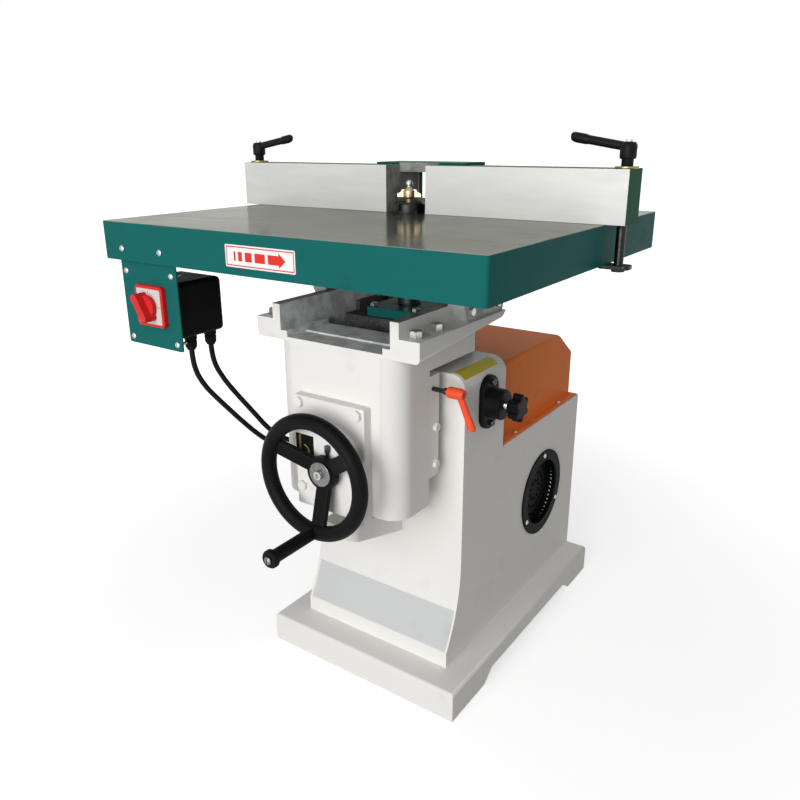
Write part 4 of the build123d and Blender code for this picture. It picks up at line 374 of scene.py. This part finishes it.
def moulded(name, colour, rough, strength=0.12, gloss=0.1):
    """A finish in moulded plastic or rubber: fine grain, and faint rubbed patches."""
    material, tree, shader = blank_finish(name, gloss=gloss)
    rubbed = rub_marks(tree)
    pale = tuple(min(1.0, 1.3 * part + 0.002) for part in colour[:3]) + (1,)
    worn = mixed(tree, share_of(tree, rubbed, share=0.5), colour, pale)
    worn_rough = between(tree, rubbed, rough, rough + 0.1)
    apply_skin(tree, shader, worn, worn_rough, grain(tree, MOULD_GRAIN), strength, MOULD_DEPTH)
    return material


cast_skin = cast_group()
grey_cast = as_cast("grey_cast", (0.30, 0.30, 0.29, 1), (0.16, 0.16, 0.155, 1), (0.5, 0.5, 0.49, 1))
motor_grey = enamelled("motor_grey", (0.11, 0.125, 0.14, 1), (0.05, 0.05, 0.05, 1))
black_rubber = moulded("black_rubber", (0.005, 0.0055, 0.005, 1), rough=0.55)
dress(motor_grey, "motor_frame", "motor_plate", edge=0.0008)
dress(grey_cast, "motor_pulley", "spindle_pulley", "bevel_pinion", edge=0.0005)
dress(black_rubber, "drive_belt", "cable_entries")


# Belt cover: a box of folded sheet steel over the belt drive, sprayed with orange enamel. Screws
# hold it down by the flanges at its foot.
orange_enamel = enamelled(
    "orange_enamel", (0.88, 0.235, 0.055, 1), (0.42, 0.13, 0.04, 1), smudge=0.3, rough=0.38,
    strength=0.1, gloss=0.02,
)
dress(orange_enamel, "belt_cover", edge=0.0006)


# Vent cover: a pressed steel grille, sprayed satin black. It is let into the right wall of the motor
# room and held by screws through its rim.
satin_black = moulded("satin_black", (0.003, 0.0035, 0.0035, 1), rough=0.46, strength=0.08, gloss=0.03)
dress(satin_black, "vent_cover", edge=0.0005)


# Spindle lock: an oval moulded flange, screwed to the tower's right side, and a plunger in it with a
# moulded star knob.
black_plastic = moulded("black_plastic", (0.0048, 0.0052, 0.005, 1), rough=0.45, strength=0.16, gloss=0.06)
dress(black_plastic, "lock_flange", "lock_knob", edge=0.0008)


# Tower and motor room: white like the base, but the neck on the tower's top is left as bare cast iron,
# painted very dark for the shade under the table.
NECK_LOW = 0.6035
NECK_HIGH = 0.70
PEEL_SHARE = 0.12


def own_place(tree):
    """The object's own place, by its axes."""
    return add_node(tree, "SeparateXYZ", Vector=add_node(tree, "TexCoord").outputs["Object"]).outputs


def where(tree, axis, low, high, soft=0.0002):
    """1 where the object's own place lies between two limits on an axis."""
    value = own_place(tree)[axis]
    above = stepped(tree, value, low - soft, low + soft)
    below = worked_out(tree, "SUBTRACT", 1.0, stepped(tree, value, high - soft, high + soft))
    return worked_out(tree, "MULTIPLY", above, below)


tower_skin, tree, shader = blank_finish("tower_skin")
paint = place_group(tree, enamel, Colour=WHITE, Soil=WHITE_SOIL, Smudge=WHITE_SMUDGE, Rough=WHITE_ROUGH)
# The neck's bare iron is painted very dark: painted shade for the shadow under the table.
shaded_iron = place_group(
    tree, cast_skin, Colour=(0.085, 0.086, 0.083, 1), Dark=(0.045, 0.046, 0.044, 1),
    Bright=(0.20, 0.20, 0.195, 1),
)
shaded_neck = where(tree, "Z", NECK_LOW, NECK_HIGH)
peel = share_of(tree, paint["Height"], PEEL_SHARE)
apply_skin(
    tree, shader, mixed(tree, shaded_neck, paint["Colour"], shaded_iron["Colour"]),
    between(tree, shaded_neck, paint["Rough"], shaded_iron["Rough"]), between(tree, shaded_neck, peel, shaded_iron["Height"]),
    strength=0.5,
)
dress(tower_skin, "pedestal", edge=0.0015)


# Small screws in the casting: turned steel, zinc-plated on the belt cover and the vent, blackened on
# the flange of the spindle lock.
LOCK_SCREWS_X = (0.155, 0.25)
LOCK_SCREWS_Y = (-0.08, 0.03)
LOCK_SCREWS_Z = (0.47, 0.60)
BLACKENED = (0.07, 0.07, 0.068, 1)


def both(tree, *masks):
    """Where all of the masks hold."""
    result = masks[0]
    for mask in masks[1:]:
        result = worked_out(tree, "MULTIPLY", result, mask)
    return result


def box_of(tree, x, y, z):
    """1 inside a box that is given by its limits on each axis."""
    return both(tree, where(tree, "X", *x), where(tree, "Y", *y), where(tree, "Z", *z))


screw_skin, tree, shader = blank_finish("screw_skin", metallic=1.0)
zinc = place_group(
    tree, machined, Place=drawn_place(tree, EVEN_GRAIN), Colour=ZINC, Dark=ZINC_DARK, Rough=ZINC_ROUGH
)
black = box_of(tree, LOCK_SCREWS_X, LOCK_SCREWS_Y, LOCK_SCREWS_Z)
apply_skin(
    tree, shader, mixed(tree, black, zinc["Colour"], BLACKENED), zinc["Rough"], zinc["Height"],
    ZINC_RELIEF, TOOL_MARK_DEPTH,
)
dress(screw_skin, "cover_screws", edge=0.0003)


# Carriage: the white knee that slides on the tower. Its channel is left as cast and sprayed with a
# thin grey coat, and the tops of its side walls are painted dark for the shade under the table.
CHANNEL_HALF = 0.1114
CHANNEL_FRONT = -0.2346
CHANNEL_BACK = 0.2
CHANNEL_FLOOR = 0.6612
CHANNEL_TOP = 0.7152
NOTCH_FRONT = -0.1306
NOTCH_LOW = 0.61
NOTCH_HIGH = 0.67
RIM_HALF = 0.1275
RIM_TOP = 0.72
RIM_SHADE = (0.05, 0.05, 0.047, 1)
carriage_skin, tree, shader = blank_finish("carriage_skin")
paint = place_group(tree, enamel, Colour=WHITE, Soil=WHITE_SOIL, Smudge=WHITE_SMUDGE, Rough=WHITE_ROUGH)
coated = place_group(
    tree, cast_skin, Colour=(0.74, 0.745, 0.73, 1), Dark=(0.47, 0.472, 0.465, 1),
    Bright=(0.95, 0.95, 0.93, 1),
)
across = (-CHANNEL_HALF, CHANNEL_HALF)
channel = box_of(tree, across, (CHANNEL_FRONT, CHANNEL_BACK), (CHANNEL_FLOOR, CHANNEL_TOP))
notch = box_of(tree, across, (NOTCH_FRONT, CHANNEL_BACK), (NOTCH_LOW, NOTCH_HIGH))
channel = worked_out(tree, "MAXIMUM", channel, notch)
# The tops of the channel walls are painted dark: painted shade for the shadow under the table.
shaded_rim = both(tree, where(tree, "Z", CHANNEL_TOP, RIM_TOP), where(tree, "X", -RIM_HALF, RIM_HALF))
colour = mixed(tree, channel, paint["Colour"], coated["Colour"])
colour = mixed(tree, share_of(tree, shaded_rim, share=0.85), colour, RIM_SHADE)
peel = share_of(tree, paint["Height"], PEEL_SHARE)
apply_skin(
    tree, shader, colour, between(tree, channel, paint["Rough"], coated["Rough"]),
    between(tree, channel, peel, coated["Height"]), strength=0.6,
)
dress(carriage_skin, "carriage", edge=0.0015)
dress(white_enamel, "keeper_bar", "keeper_bolts", "gear_cover_bolts", edge=0.0006)


# Gear cover: a thick white plate with a boss for the handwheel shaft, a brass bush in it and a
# small steel thumb screw on top.
dull_brass = bare_metal("dull_brass", (0.60, 0.44, 0.18, 1), (0.30, 0.22, 0.10, 1), rough=0.3)
dark_steel = bare_metal("dark_steel", (0.10, 0.10, 0.10, 1), (0.04, 0.04, 0.04, 1), rough=0.35)
dress(white_enamel, "gear_cover", edge=0.002, steps=3)
dress(dull_brass, "shaft_bush", "lift_nut_gear", edge=0.0002)
dress(dark_steel, "shaft_lock_screw", edge=0.0002)


# Wheel plate: a small black printed plate on the gear cover, with a line and a bent arrow that show
# the sense of the lift. It is stuck on flat.
WHEEL_PLATE_LOW = (-0.0716, -0.2533, 0.464)
WHEEL_PLATE_HIGH = (-0.033, -0.253, 0.505)
WHEEL_PLATE_CORNER = 0.001
LINE_X = (-0.0645, -0.0605)
LINE_Z = (0.478, 0.503)
BEND_CENTRE = (-0.0555, 0.474)
BEND_RADIUS = 0.0125
BEND_WIDTH = 0.0022
BEND_X = (-0.0545, -0.03)
BEND_Z = (0.4765, 0.50)
BARB_CENTRE = (-0.0445, 0.4755)
BARB_WIDTH = 0.0056
BARB_Z = (0.47, 0.478)
PLATE_BLACK = (0.008, 0.008, 0.009, 1)
LINE_BROWN = (0.30, 0.22, 0.10, 1)
ARROW_YELLOW = (0.55, 0.50, 0.10, 1)


def thin_plate(low, high, corner, name, material):
    """A plate on the carriage between two corners, thin along Y, whose outline has round corners."""
    bm = bmesh.new()
    middle = (Vector(low) + Vector(high)) / 2
    size = Vector(high) - Vector(low)
    bmesh.ops.create_cube(bm, size=1, matrix=Matrix.LocRotScale(middle, None, size))
    corners = [edge for edge in bm.edges if abs(edge.verts[0].co.y - edge.verts[1].co.y) > 0.5 * size.y]
    bmesh.ops.bevel(bm, geom=corners, offset=corner, segments=4, profile=0.5, affect="EDGES", material=-1)
    fit_piece(bm, name, material, "carriage")


def any_of(tree, *masks):
    """Where at least one of the masks holds."""
    result = masks[0]
    for mask in masks[1:]:
        result = worked_out(tree, "MAXIMUM", result, mask)
    return result


def ring_of(tree, centre, radius, width):
    """1 on a ring round an axis along Y, or on a disc where the radius is 0."""
    place = own_place(tree)
    across = worked_out(tree, "SUBTRACT", place["X"], centre[0])
    up = worked_out(tree, "SUBTRACT", place["Z"], centre[1])
    square = worked_out(tree, "POWER", across, 2.0)
    square = worked_out(tree, "ADD", square, worked_out(tree, "POWER", up, 2.0))
    away = worked_out(tree, "SUBTRACT", worked_out(tree, "SQRT", square), radius)
    away = worked_out(tree, "ABSOLUTE", away)
    return worked_out(tree, "SUBTRACT", 1.0, stepped(tree, away, 0.4 * width, 0.6 * width))


wheel_print, tree, shader = blank_finish("wheel_print")
line = both(tree, where(tree, "X", *LINE_X), where(tree, "Z", *LINE_Z))
bend = both(
    tree, ring_of(tree, BEND_CENTRE, BEND_RADIUS, BEND_WIDTH), where(tree, "X", *BEND_X),
    where(tree, "Z", *BEND_Z),
)
barb = both(tree, ring_of(tree, BARB_CENTRE, 0.0, BARB_WIDTH), where(tree, "Z", *BARB_Z))
colour = mixed(tree, line, PLATE_BLACK, LINE_BROWN)
colour = mixed(tree, any_of(tree, bend, barb), colour, ARROW_YELLOW)
spray(tree, shader, colour, soil=(0.03, 0.028, 0.025, 1), smudge=0.25, rough=0.35, strength=FILM_RELIEF)
thin_plate(
    WHEEL_PLATE_LOW, WHEEL_PLATE_HIGH, WHEEL_PLATE_CORNER, "wheel_plate", wheel_print
)


# Handwheel: a moulded black wheel with a bright washer and screw in its hub, and a turning grip
# on a slotted bolt.
hub_steel = bare_metal(
    "hub_steel", (0.30, 0.30, 0.29, 1), (0.10, 0.10, 0.096, 1), rough=0.26, stretch=EVEN_GRAIN,
    strength=0.25,
)
dress(black_plastic, "handwheel", "crank_grip")
dress(hub_steel, "hub_washer", "grip_bolt", edge=0.0003)
dress(bright_zinc, "hub_screw", edge=0.0003)


# Lift lock: a clamping lever moulded in orange plastic, on a blackened steel stud at the side of the
# carriage.
signal_orange = moulded("signal_orange", (0.88, 0.095, 0.038, 1), rough=0.3, strength=0.06)
dress(signal_orange, "lift_lock_lever")
dress(dark_steel, "lift_lock_stud", edge=0.0003)


# Saddles: two cast blocks between carriage and table, filed and sprayed light grey, with bright
# bolts at their sides and on the ears of the carriage.
pale_cast = as_cast(
    "pale_cast", (0.52, 0.52, 0.51, 1), (0.40, 0.40, 0.39, 1), (0.66, 0.66, 0.65, 1), metallic=0.1,
    strength=0.25,
)
dress(pale_cast, "saddle_left", "saddle_right", edge=0.0015)
dress(bright_zinc, "saddle_bolts", "ear_bolts", edge=0.0005)


# Table: an iron casting on the two saddles, with its apron sprayed teal. Its top is ground, and is
# dark with oil.
TOP_LOW = 0.8494
TOP_HIGH = 0.86
TOP_SOFT = 0.0003
TOP_METALLIC = 0.9
TOP_TINT = (0.53, 0.54, 0.49, 1)
table_skin, tree, shader = blank_finish("table_skin", gloss=TEAL_GLOSS)
paint = place_group(tree, enamel, Colour=TEAL, Soil=TEAL_SOIL, Smudge=TEAL_SMUDGE, Rough=0.34)
ground = place_group(
    tree, machined, Place=drawn_place(tree, stretch=(5, 420, 5)), Colour=(0.35, 0.355, 0.325, 1),
    Dark=(0.23, 0.235, 0.215, 1), Rough=0.12,
)
top = where(tree, "Z", TOP_LOW, TOP_HIGH, TOP_SOFT)
grinding = share_of(tree, ground["Height"], share=0.1)
apply_skin(
    tree, shader, mixed(tree, top, paint["Colour"], ground["Colour"]),
    between(tree, top, paint["Rough"], ground["Rough"]), between(tree, top, paint["Height"], grinding),
    strength=0.14,
)
connect(tree, share_of(tree, top, TOP_METALLIC), shader.inputs["Metallic"])
shader.inputs["Specular Tint"].default_value = TOP_TINT
dress(table_skin, "table", edge=0.0015)


# Direction plate: a thin white plate on the apron's front. It is printed with a red border and a
# broken arrow that shows which way the work is fed.
PLATE_LEFT = -0.067
PLATE_RIGHT = 0.065
PLATE_LOW = 0.8015
PLATE_HIGH = 0.833
PLATE_FRONT = -0.3834
PLATE_BACK = -0.383
PLATE_CORNER = 0.0022
PLATE_WHITE = (0.78, 0.78, 0.775, 1)
PRINT_RED = (0.66, 0.035, 0.03, 1)
BORDER_OUTSIDE = 0.0020
BORDER_INSIDE = 0.0036
ARROW_BARS = ((0.0168, 0.0204), (0.0254, 0.0332), (0.0386, 0.052), (0.0574, 0.077), (0.0824, 0.1026))
ARROW_BAR_HALF = 0.0065
ARROW_HEAD_START = 0.1024
ARROW_HEAD_TIP = 0.1147
ARROW_HEAD_SLOPE = 0.86
ARROW_HEAD_SOFT = 0.0002


def inset_box(tree, inset):
    """1 on the plate's face inside a margin."""
    return both(
        tree, where(tree, "X", PLATE_LEFT + inset, PLATE_RIGHT - inset),
        where(tree, "Z", PLATE_LOW + inset, PLATE_HIGH - inset),
    )


arrow_print, tree, shader = blank_finish("arrow_print")
border = worked_out(tree, "SUBTRACT", inset_box(tree, BORDER_OUTSIDE), inset_box(tree, BORDER_INSIDE))
plate_middle = (PLATE_LOW + PLATE_HIGH) / 2
bars = any_of(tree, *[
    where(tree, "X", PLATE_LEFT + start, PLATE_LEFT + end) for start, end in ARROW_BARS
])
bars = both(tree, bars, where(tree, "Z", plate_middle - ARROW_BAR_HALF, plate_middle + ARROW_BAR_HALF))
place = own_place(tree)
to_tip = worked_out(tree, "SUBTRACT", PLATE_LEFT + ARROW_HEAD_TIP, place["X"])
half = share_of(tree, to_tip, ARROW_HEAD_SLOPE)
off = worked_out(tree, "ABSOLUTE", worked_out(tree, "SUBTRACT", place["Z"], plate_middle))
head = both(
    tree, stepped(tree, worked_out(tree, "SUBTRACT", half, off), -ARROW_HEAD_SOFT, ARROW_HEAD_SOFT),
    where(tree, "X", PLATE_LEFT + ARROW_HEAD_START, PLATE_RIGHT),
)
colour = mixed(tree, any_of(tree, border, bars, head), PLATE_WHITE, PRINT_RED)
spray(tree, shader, colour, soil=(0.45, 0.44, 0.42, 1), smudge=0.2, rough=0.32, strength=FILM_RELIEF)
thin_plate(
    (PLATE_LEFT, PLATE_FRONT, PLATE_LOW), (PLATE_RIGHT, PLATE_BACK, PLATE_HIGH), PLATE_CORNER,
    "direction_plate", arrow_print,
)


# Switch: a bent plate under the apron with a red bezel and knob on it, the black box behind it,
# and two glands below for the cables. The bezel frames a pale printed face.
signal_red = moulded("signal_red", (0.60, 0.022, 0.02, 1), rough=0.28, strength=0.05)
dress(teal_enamel, "switch_plate", edge=0.0003)
dress(bright_zinc, "panel_screws", edge=0.0003)
dress(black_plastic, "switch_box", "switch_glands")
dress(signal_red, "switch_bezel", "switch_knob", edge=0.0006)

KNOB_X = -0.253
KNOB_Z = 0.721
SWITCH_FACE_HALF = 0.028
SWITCH_FACE_FRONT = -0.382
SWITCH_FACE_BACK = -0.3814
SWITCH_FACE_CORNER = 0.0024
SWITCH_FACE_PALE = (0.60, 0.57, 0.55, 1)
MARK_START = 0.0202
MARK_END = 0.0252
MARK_HALF = 0.0006
MARK_ARC_WIDTH = 0.0009
MARK_GREY = (0.10, 0.10, 0.11, 1)
face_left = KNOB_X - SWITCH_FACE_HALF
face_right = KNOB_X + SWITCH_FACE_HALF
face_low = KNOB_Z - SWITCH_FACE_HALF
face_high = KNOB_Z + SWITCH_FACE_HALF
face_print, tree, shader = blank_finish("face_print")
top_mark = both(
    tree, where(tree, "X", KNOB_X - MARK_HALF, KNOB_X + MARK_HALF),
    where(tree, "Z", KNOB_Z + MARK_START, KNOB_Z + MARK_END),
)
side_mark = both(
    tree, where(tree, "X", KNOB_X + MARK_START, KNOB_X + MARK_END),
    where(tree, "Z", KNOB_Z - MARK_HALF, KNOB_Z + MARK_HALF),
)
arc = both(
    tree, ring_of(tree, (KNOB_X, KNOB_Z), MARK_START, MARK_ARC_WIDTH),
    where(tree, "X", KNOB_X, face_right), where(tree, "Z", KNOB_Z, face_high),
)
colour = mixed(tree, any_of(tree, top_mark, side_mark, arc), SWITCH_FACE_PALE, MARK_GREY)
spray(tree, shader, colour, soil=(0.35, 0.33, 0.31, 1), smudge=0.3, rough=0.35, strength=FILM_RELIEF)
thin_plate(
    (face_left, SWITCH_FACE_FRONT, face_low), (face_right, SWITCH_FACE_BACK, face_high),
    SWITCH_FACE_CORNER, "switch_face", face_print,
)


# Cables: two round leads in black rubber sheaths. They hang from the glands under the switch box and
# end in the grommets on the carriage.
LEAD_RADIUS = 0.0045
FRONT_ROUTE = [
    (-0.225, -0.329, 0.6428), (-0.225, -0.329, 0.613), (-0.217, -0.316, 0.577), (-0.203, -0.292, 0.542),
    (-0.187, -0.267, 0.506), (-0.171, -0.241, 0.472), (-0.154, -0.214, 0.446), (-0.136, -0.195, 0.429),
]
REAR_ROUTE = [
    (-0.225, -0.287, 0.6428), (-0.225, -0.287, 0.615), (-0.215, -0.275, 0.580), (-0.199, -0.258, 0.546),
    (-0.182, -0.240, 0.513), (-0.167, -0.224, 0.482), (-0.152, -0.208, 0.463), (-0.136, -0.195, 0.454),
]


def lead(name, node, route):
    """A round lead along a route of control points, in place of a CAD node."""
    curve = bpy.data.curves.new(name, "CURVE")
    curve.dimensions = "3D"
    curve.bevel_depth = LEAD_RADIUS
    curve.bevel_resolution = 5
    curve.use_fill_caps = True
    spline = curve.splines.new("NURBS")
    spline.points.add(len(route) - 1)
    for point, place in zip(spline.points, route):
        point.co = (*place, 1)
    spline.order_u = 3
    spline.use_endpoint_u = True
    spline.resolution_u = 12
    curve.materials.append(black_rubber)
    piece = bpy.data.objects.new(name, curve)
    bpy.context.scene.collection.objects.link(piece)
    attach(piece, "carriage")
    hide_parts(node)


lead("front_lead", "cable_front", FRONT_ROUTE)
lead("rear_lead", "cable_rear", REAR_ROUTE)


# Spindle nose: a black collet nut that holds the shank of a brass-coloured profile cutter with a
# small guide bearing on top.
black_oxide = bare_metal("black_oxide", (0.035, 0.035, 0.036, 1), (0.015, 0.015, 0.015, 1), rough=0.3)
gilt = bare_metal(
    "gilt", (0.56, 0.46, 0.32, 1), (0.34, 0.26, 0.15, 1), rough=0.36, stretch=(200, 200, 200)
)
dress(ground_steel, "spindle", "pilot_bearing", edge=0.0003)
dress(black_oxide, "collet_nut", edge=0.0008)
dress(gilt, "cutter", edge=0.0002)


# Fence: one dark green casting. Both front faces are machined bright, the throat is as cast. It is
# held down at each end by a blackened rod with a clamping lever on a yellow passivated washer.
FENCE_GREEN = (0.006, 0.102, 0.042, 1)
FENCE_SOIL = (0.01, 0.05, 0.025, 1)
FENCE_GLOSS = 0.015
FENCE_FACE_FRONT = -0.04
FENCE_FACE_BACK = -0.0306
FENCE_FACE_METALLIC = 0.25
THROAT_HALF = 0.0404
THROAT_BACK = 0.07
THROAT_LOW = 0.84
THROAT_HIGH = 0.9312
fence_skin, tree, shader = blank_finish("fence_skin", gloss=FENCE_GLOSS)
paint = place_group(tree, enamel, Colour=FENCE_GREEN, Soil=FENCE_SOIL, Smudge=0.4, Rough=0.38)
milled = place_group(
    tree, machined, Place=drawn_place(tree, stretch=(12, 12, 70)), Colour=(0.64, 0.64, 0.625, 1),
    Dark=(0.565, 0.565, 0.55, 1), Rough=0.4,
)
sandy = place_group(
    tree, cast_skin, Colour=(0.30, 0.30, 0.295, 1), Dark=(0.17, 0.172, 0.17, 1), Bright=(0.6, 0.6, 0.59, 1)
)
face = where(tree, "Y", FENCE_FACE_FRONT, FENCE_FACE_BACK)
throat = box_of(
    tree, (-THROAT_HALF, THROAT_HALF), (FENCE_FACE_BACK, THROAT_BACK), (THROAT_LOW, THROAT_HIGH)
)
colour = mixed(tree, throat, paint["Colour"], sandy["Colour"])
rough = between(tree, throat, paint["Rough"], sandy["Rough"])
height = between(tree, throat, share_of(tree, paint["Height"], share=0.2), sandy["Height"])
milling = share_of(tree, milled["Height"], share=0.1)
apply_skin(
    tree, shader, mixed(tree, face, colour, milled["Colour"]), between(tree, face, rough, milled["Rough"]),
    between(tree, face, height, milling), strength=0.5,
)
connect(tree, share_of(tree, face, FENCE_FACE_METALLIC), shader.inputs["Metallic"])
yellow_zinc = bare_metal("yellow_zinc", (0.40, 0.33, 0.15, 1), (0.20, 0.16, 0.07, 1), rough=0.32)
dress(fence_skin, "fence", edge=0.001)
dress(black_oxide, "clamp_rods", edge=0.0004)
dress(yellow_zinc, "clamp_washers", edge=0.0002)

CLAMP_SCREW_IN = 0.361
CLAMP_SCREW_OUT = 0.372
CLAMP_SCREW_Y = (-0.0085, 0.0035)
CLAMP_SCREW_Z = (0.9652, 0.98)
CLAMP_SCREW_BRIGHT = (0.66, 0.64, 0.58, 1)
CLAMP_SCREW_ROUGH = 0.3
LEVER_BLACK = (0.0055, 0.006, 0.006, 1)
LEVER_RUBBED = (0.009, 0.0095, 0.0095, 1)
LEVER_ROUGH = 0.46
lever_skin, tree, shader = blank_finish("lever_skin", gloss=0.1)
either_end = any_of(
    tree, where(tree, "X", CLAMP_SCREW_IN, CLAMP_SCREW_OUT),
    where(tree, "X", -CLAMP_SCREW_OUT, -CLAMP_SCREW_IN),
)
screw = both(tree, where(tree, "Z", *CLAMP_SCREW_Z), where(tree, "Y", *CLAMP_SCREW_Y), either_end)
black = mixed(tree, rub_marks(tree), LEVER_BLACK, LEVER_RUBBED)
apply_skin(
    tree, shader, mixed(tree, screw, black, CLAMP_SCREW_BRIGHT),
    between(tree, screw, LEVER_ROUGH, CLAMP_SCREW_ROUGH), grain(tree, MOULD_GRAIN),
    strength=0.16, depth=MOULD_DEPTH,
)
connect(tree, screw, shader.inputs["Metallic"])
dress(lever_skin, "clamp_lever_left", "clamp_lever_right", edge=0.0006)


# Studio: a pale floor that runs on into a white world, and one large soft lamp in front of the
# machine, as on a product photograph.
LAMP_PLACE = (0.5, -3.65, 1.4)
LAMP_AIM = (0, 0, 0.5)
LAMP_SIDE = 2.6
LAMP_POWER = 124
WORLD_LIT = 0.33
WORLD_SEEN = 1.0
FLOOR_RADIUS = 60
FLOOR_DROP = 0.0005
FLOOR_LIT = (0.42, 0.42, 0.41, 1)
FLOOR_SEEN = (0.62, 0.62, 0.62, 1)
GLOW_NEAR = 0.5
GLOW_FAR = 2.2
GLOW_LEAST = 0.62


def seen(tree):
    """1 for what the camera sees straight, in a mirror or through glass."""
    path = add_node(tree, "LightPath")
    result = worked_out(tree, "MAXIMUM", path.outputs["Is Camera Ray"], path.outputs["Is Glossy Ray"])
    return worked_out(tree, "MAXIMUM", result, path.outputs["Is Transmission Ray"])


lamp_data = bpy.data.lights.new("key_lamp", "AREA")
lamp_data.size = LAMP_SIDE
lamp_data.energy = LAMP_POWER
lamp = bpy.data.objects.new("key_lamp", lamp_data)
bpy.context.scene.collection.objects.link(lamp)
lamp.location = LAMP_PLACE
lamp.rotation_euler = (Vector(LAMP_AIM) - Vector(LAMP_PLACE)).to_track_quat("-Z", "Y").to_euler()

world = bpy.data.worlds.new("studio")
bpy.context.scene.world = world
world.use_nodes = True
tree = world.node_tree
sky = tree.nodes["Background"]
sky.inputs["Color"].default_value = (1, 1, 1, 1)
connect(tree, between(tree, seen(tree), WORLD_LIT, WORLD_SEEN), sky.inputs["Strength"])

floor_mesh = bmesh.new()
bmesh.ops.create_circle(floor_mesh, cap_ends=True, segments=64, radius=FLOOR_RADIUS)
floor_data = bpy.data.meshes.new("floor")
floor_mesh.to_mesh(floor_data)
floor_mesh.free()
floor = bpy.data.objects.new("floor", floor_data)
bpy.context.scene.collection.objects.link(floor)
floor.location = (0, 0, -FLOOR_DROP)
floor_paint, tree, shader = blank_finish("floor_paint", gloss=0.0)
shader.inputs["Roughness"].default_value = 0.9
connect(tree, mixed(tree, seen(tree), FLOOR_LIT, FLOOR_SEEN), shader.inputs["Base Color"])
away = add_node(tree, "VectorMath", {"operation": "LENGTH"})
connect(tree, add_node(tree, "TexCoord").outputs["Object"], away.inputs[0])
glow = between(tree, stepped(tree, away.outputs["Value"], GLOW_NEAR, GLOW_FAR), GLOW_LEAST, 1.0)
glow = worked_out(tree, "MULTIPLY", glow, seen(tree))
connect(tree, mixed(tree, glow, (0, 0, 0, 1), (1, 1, 1, 1)), shader.inputs["Emission Color"])
shader.inputs["Emission Strength"].default_value = 1.0
floor_data.materials.append(floor_paint)


# Camera of the photograph: in front of the machine and to its right, a little above the table.
# Its place and lens were solved from the straight edges of base, carriage and table.
CAMERA_PLACE = (0.74075, -1.11876, 0.97284)
CAMERA_TURN = radians(35.386)
CAMERA_TILT = radians(90 - 18.797)
CAMERA_ROLL = radians(-0.4)
camera_data = bpy.data.cameras.new("camera")
camera_data.sensor_width = 36
camera_data.lens = 33.85
camera_data.shift_x = 0.0108
camera_data.shift_y = -0.0084
camera_data.clip_start = 0.05
camera = bpy.data.objects.new("camera", camera_data)
bpy.context.scene.collection.objects.link(camera)
turn = (
    Matrix.Rotation(CAMERA_TURN, 4, "Z")
    @ Matrix.Rotation(CAMERA_TILT, 4, "X")
    @ Matrix.Rotation(CAMERA_ROLL, 4, "Z")
)
camera.matrix_world = Matrix.Translation(CAMERA_PLACE) @ turn
bpy.context.scene.camera = camera

bpy.context.scene.view_settings.view_transform = "Standard"
bpy.context.view_layer.update()
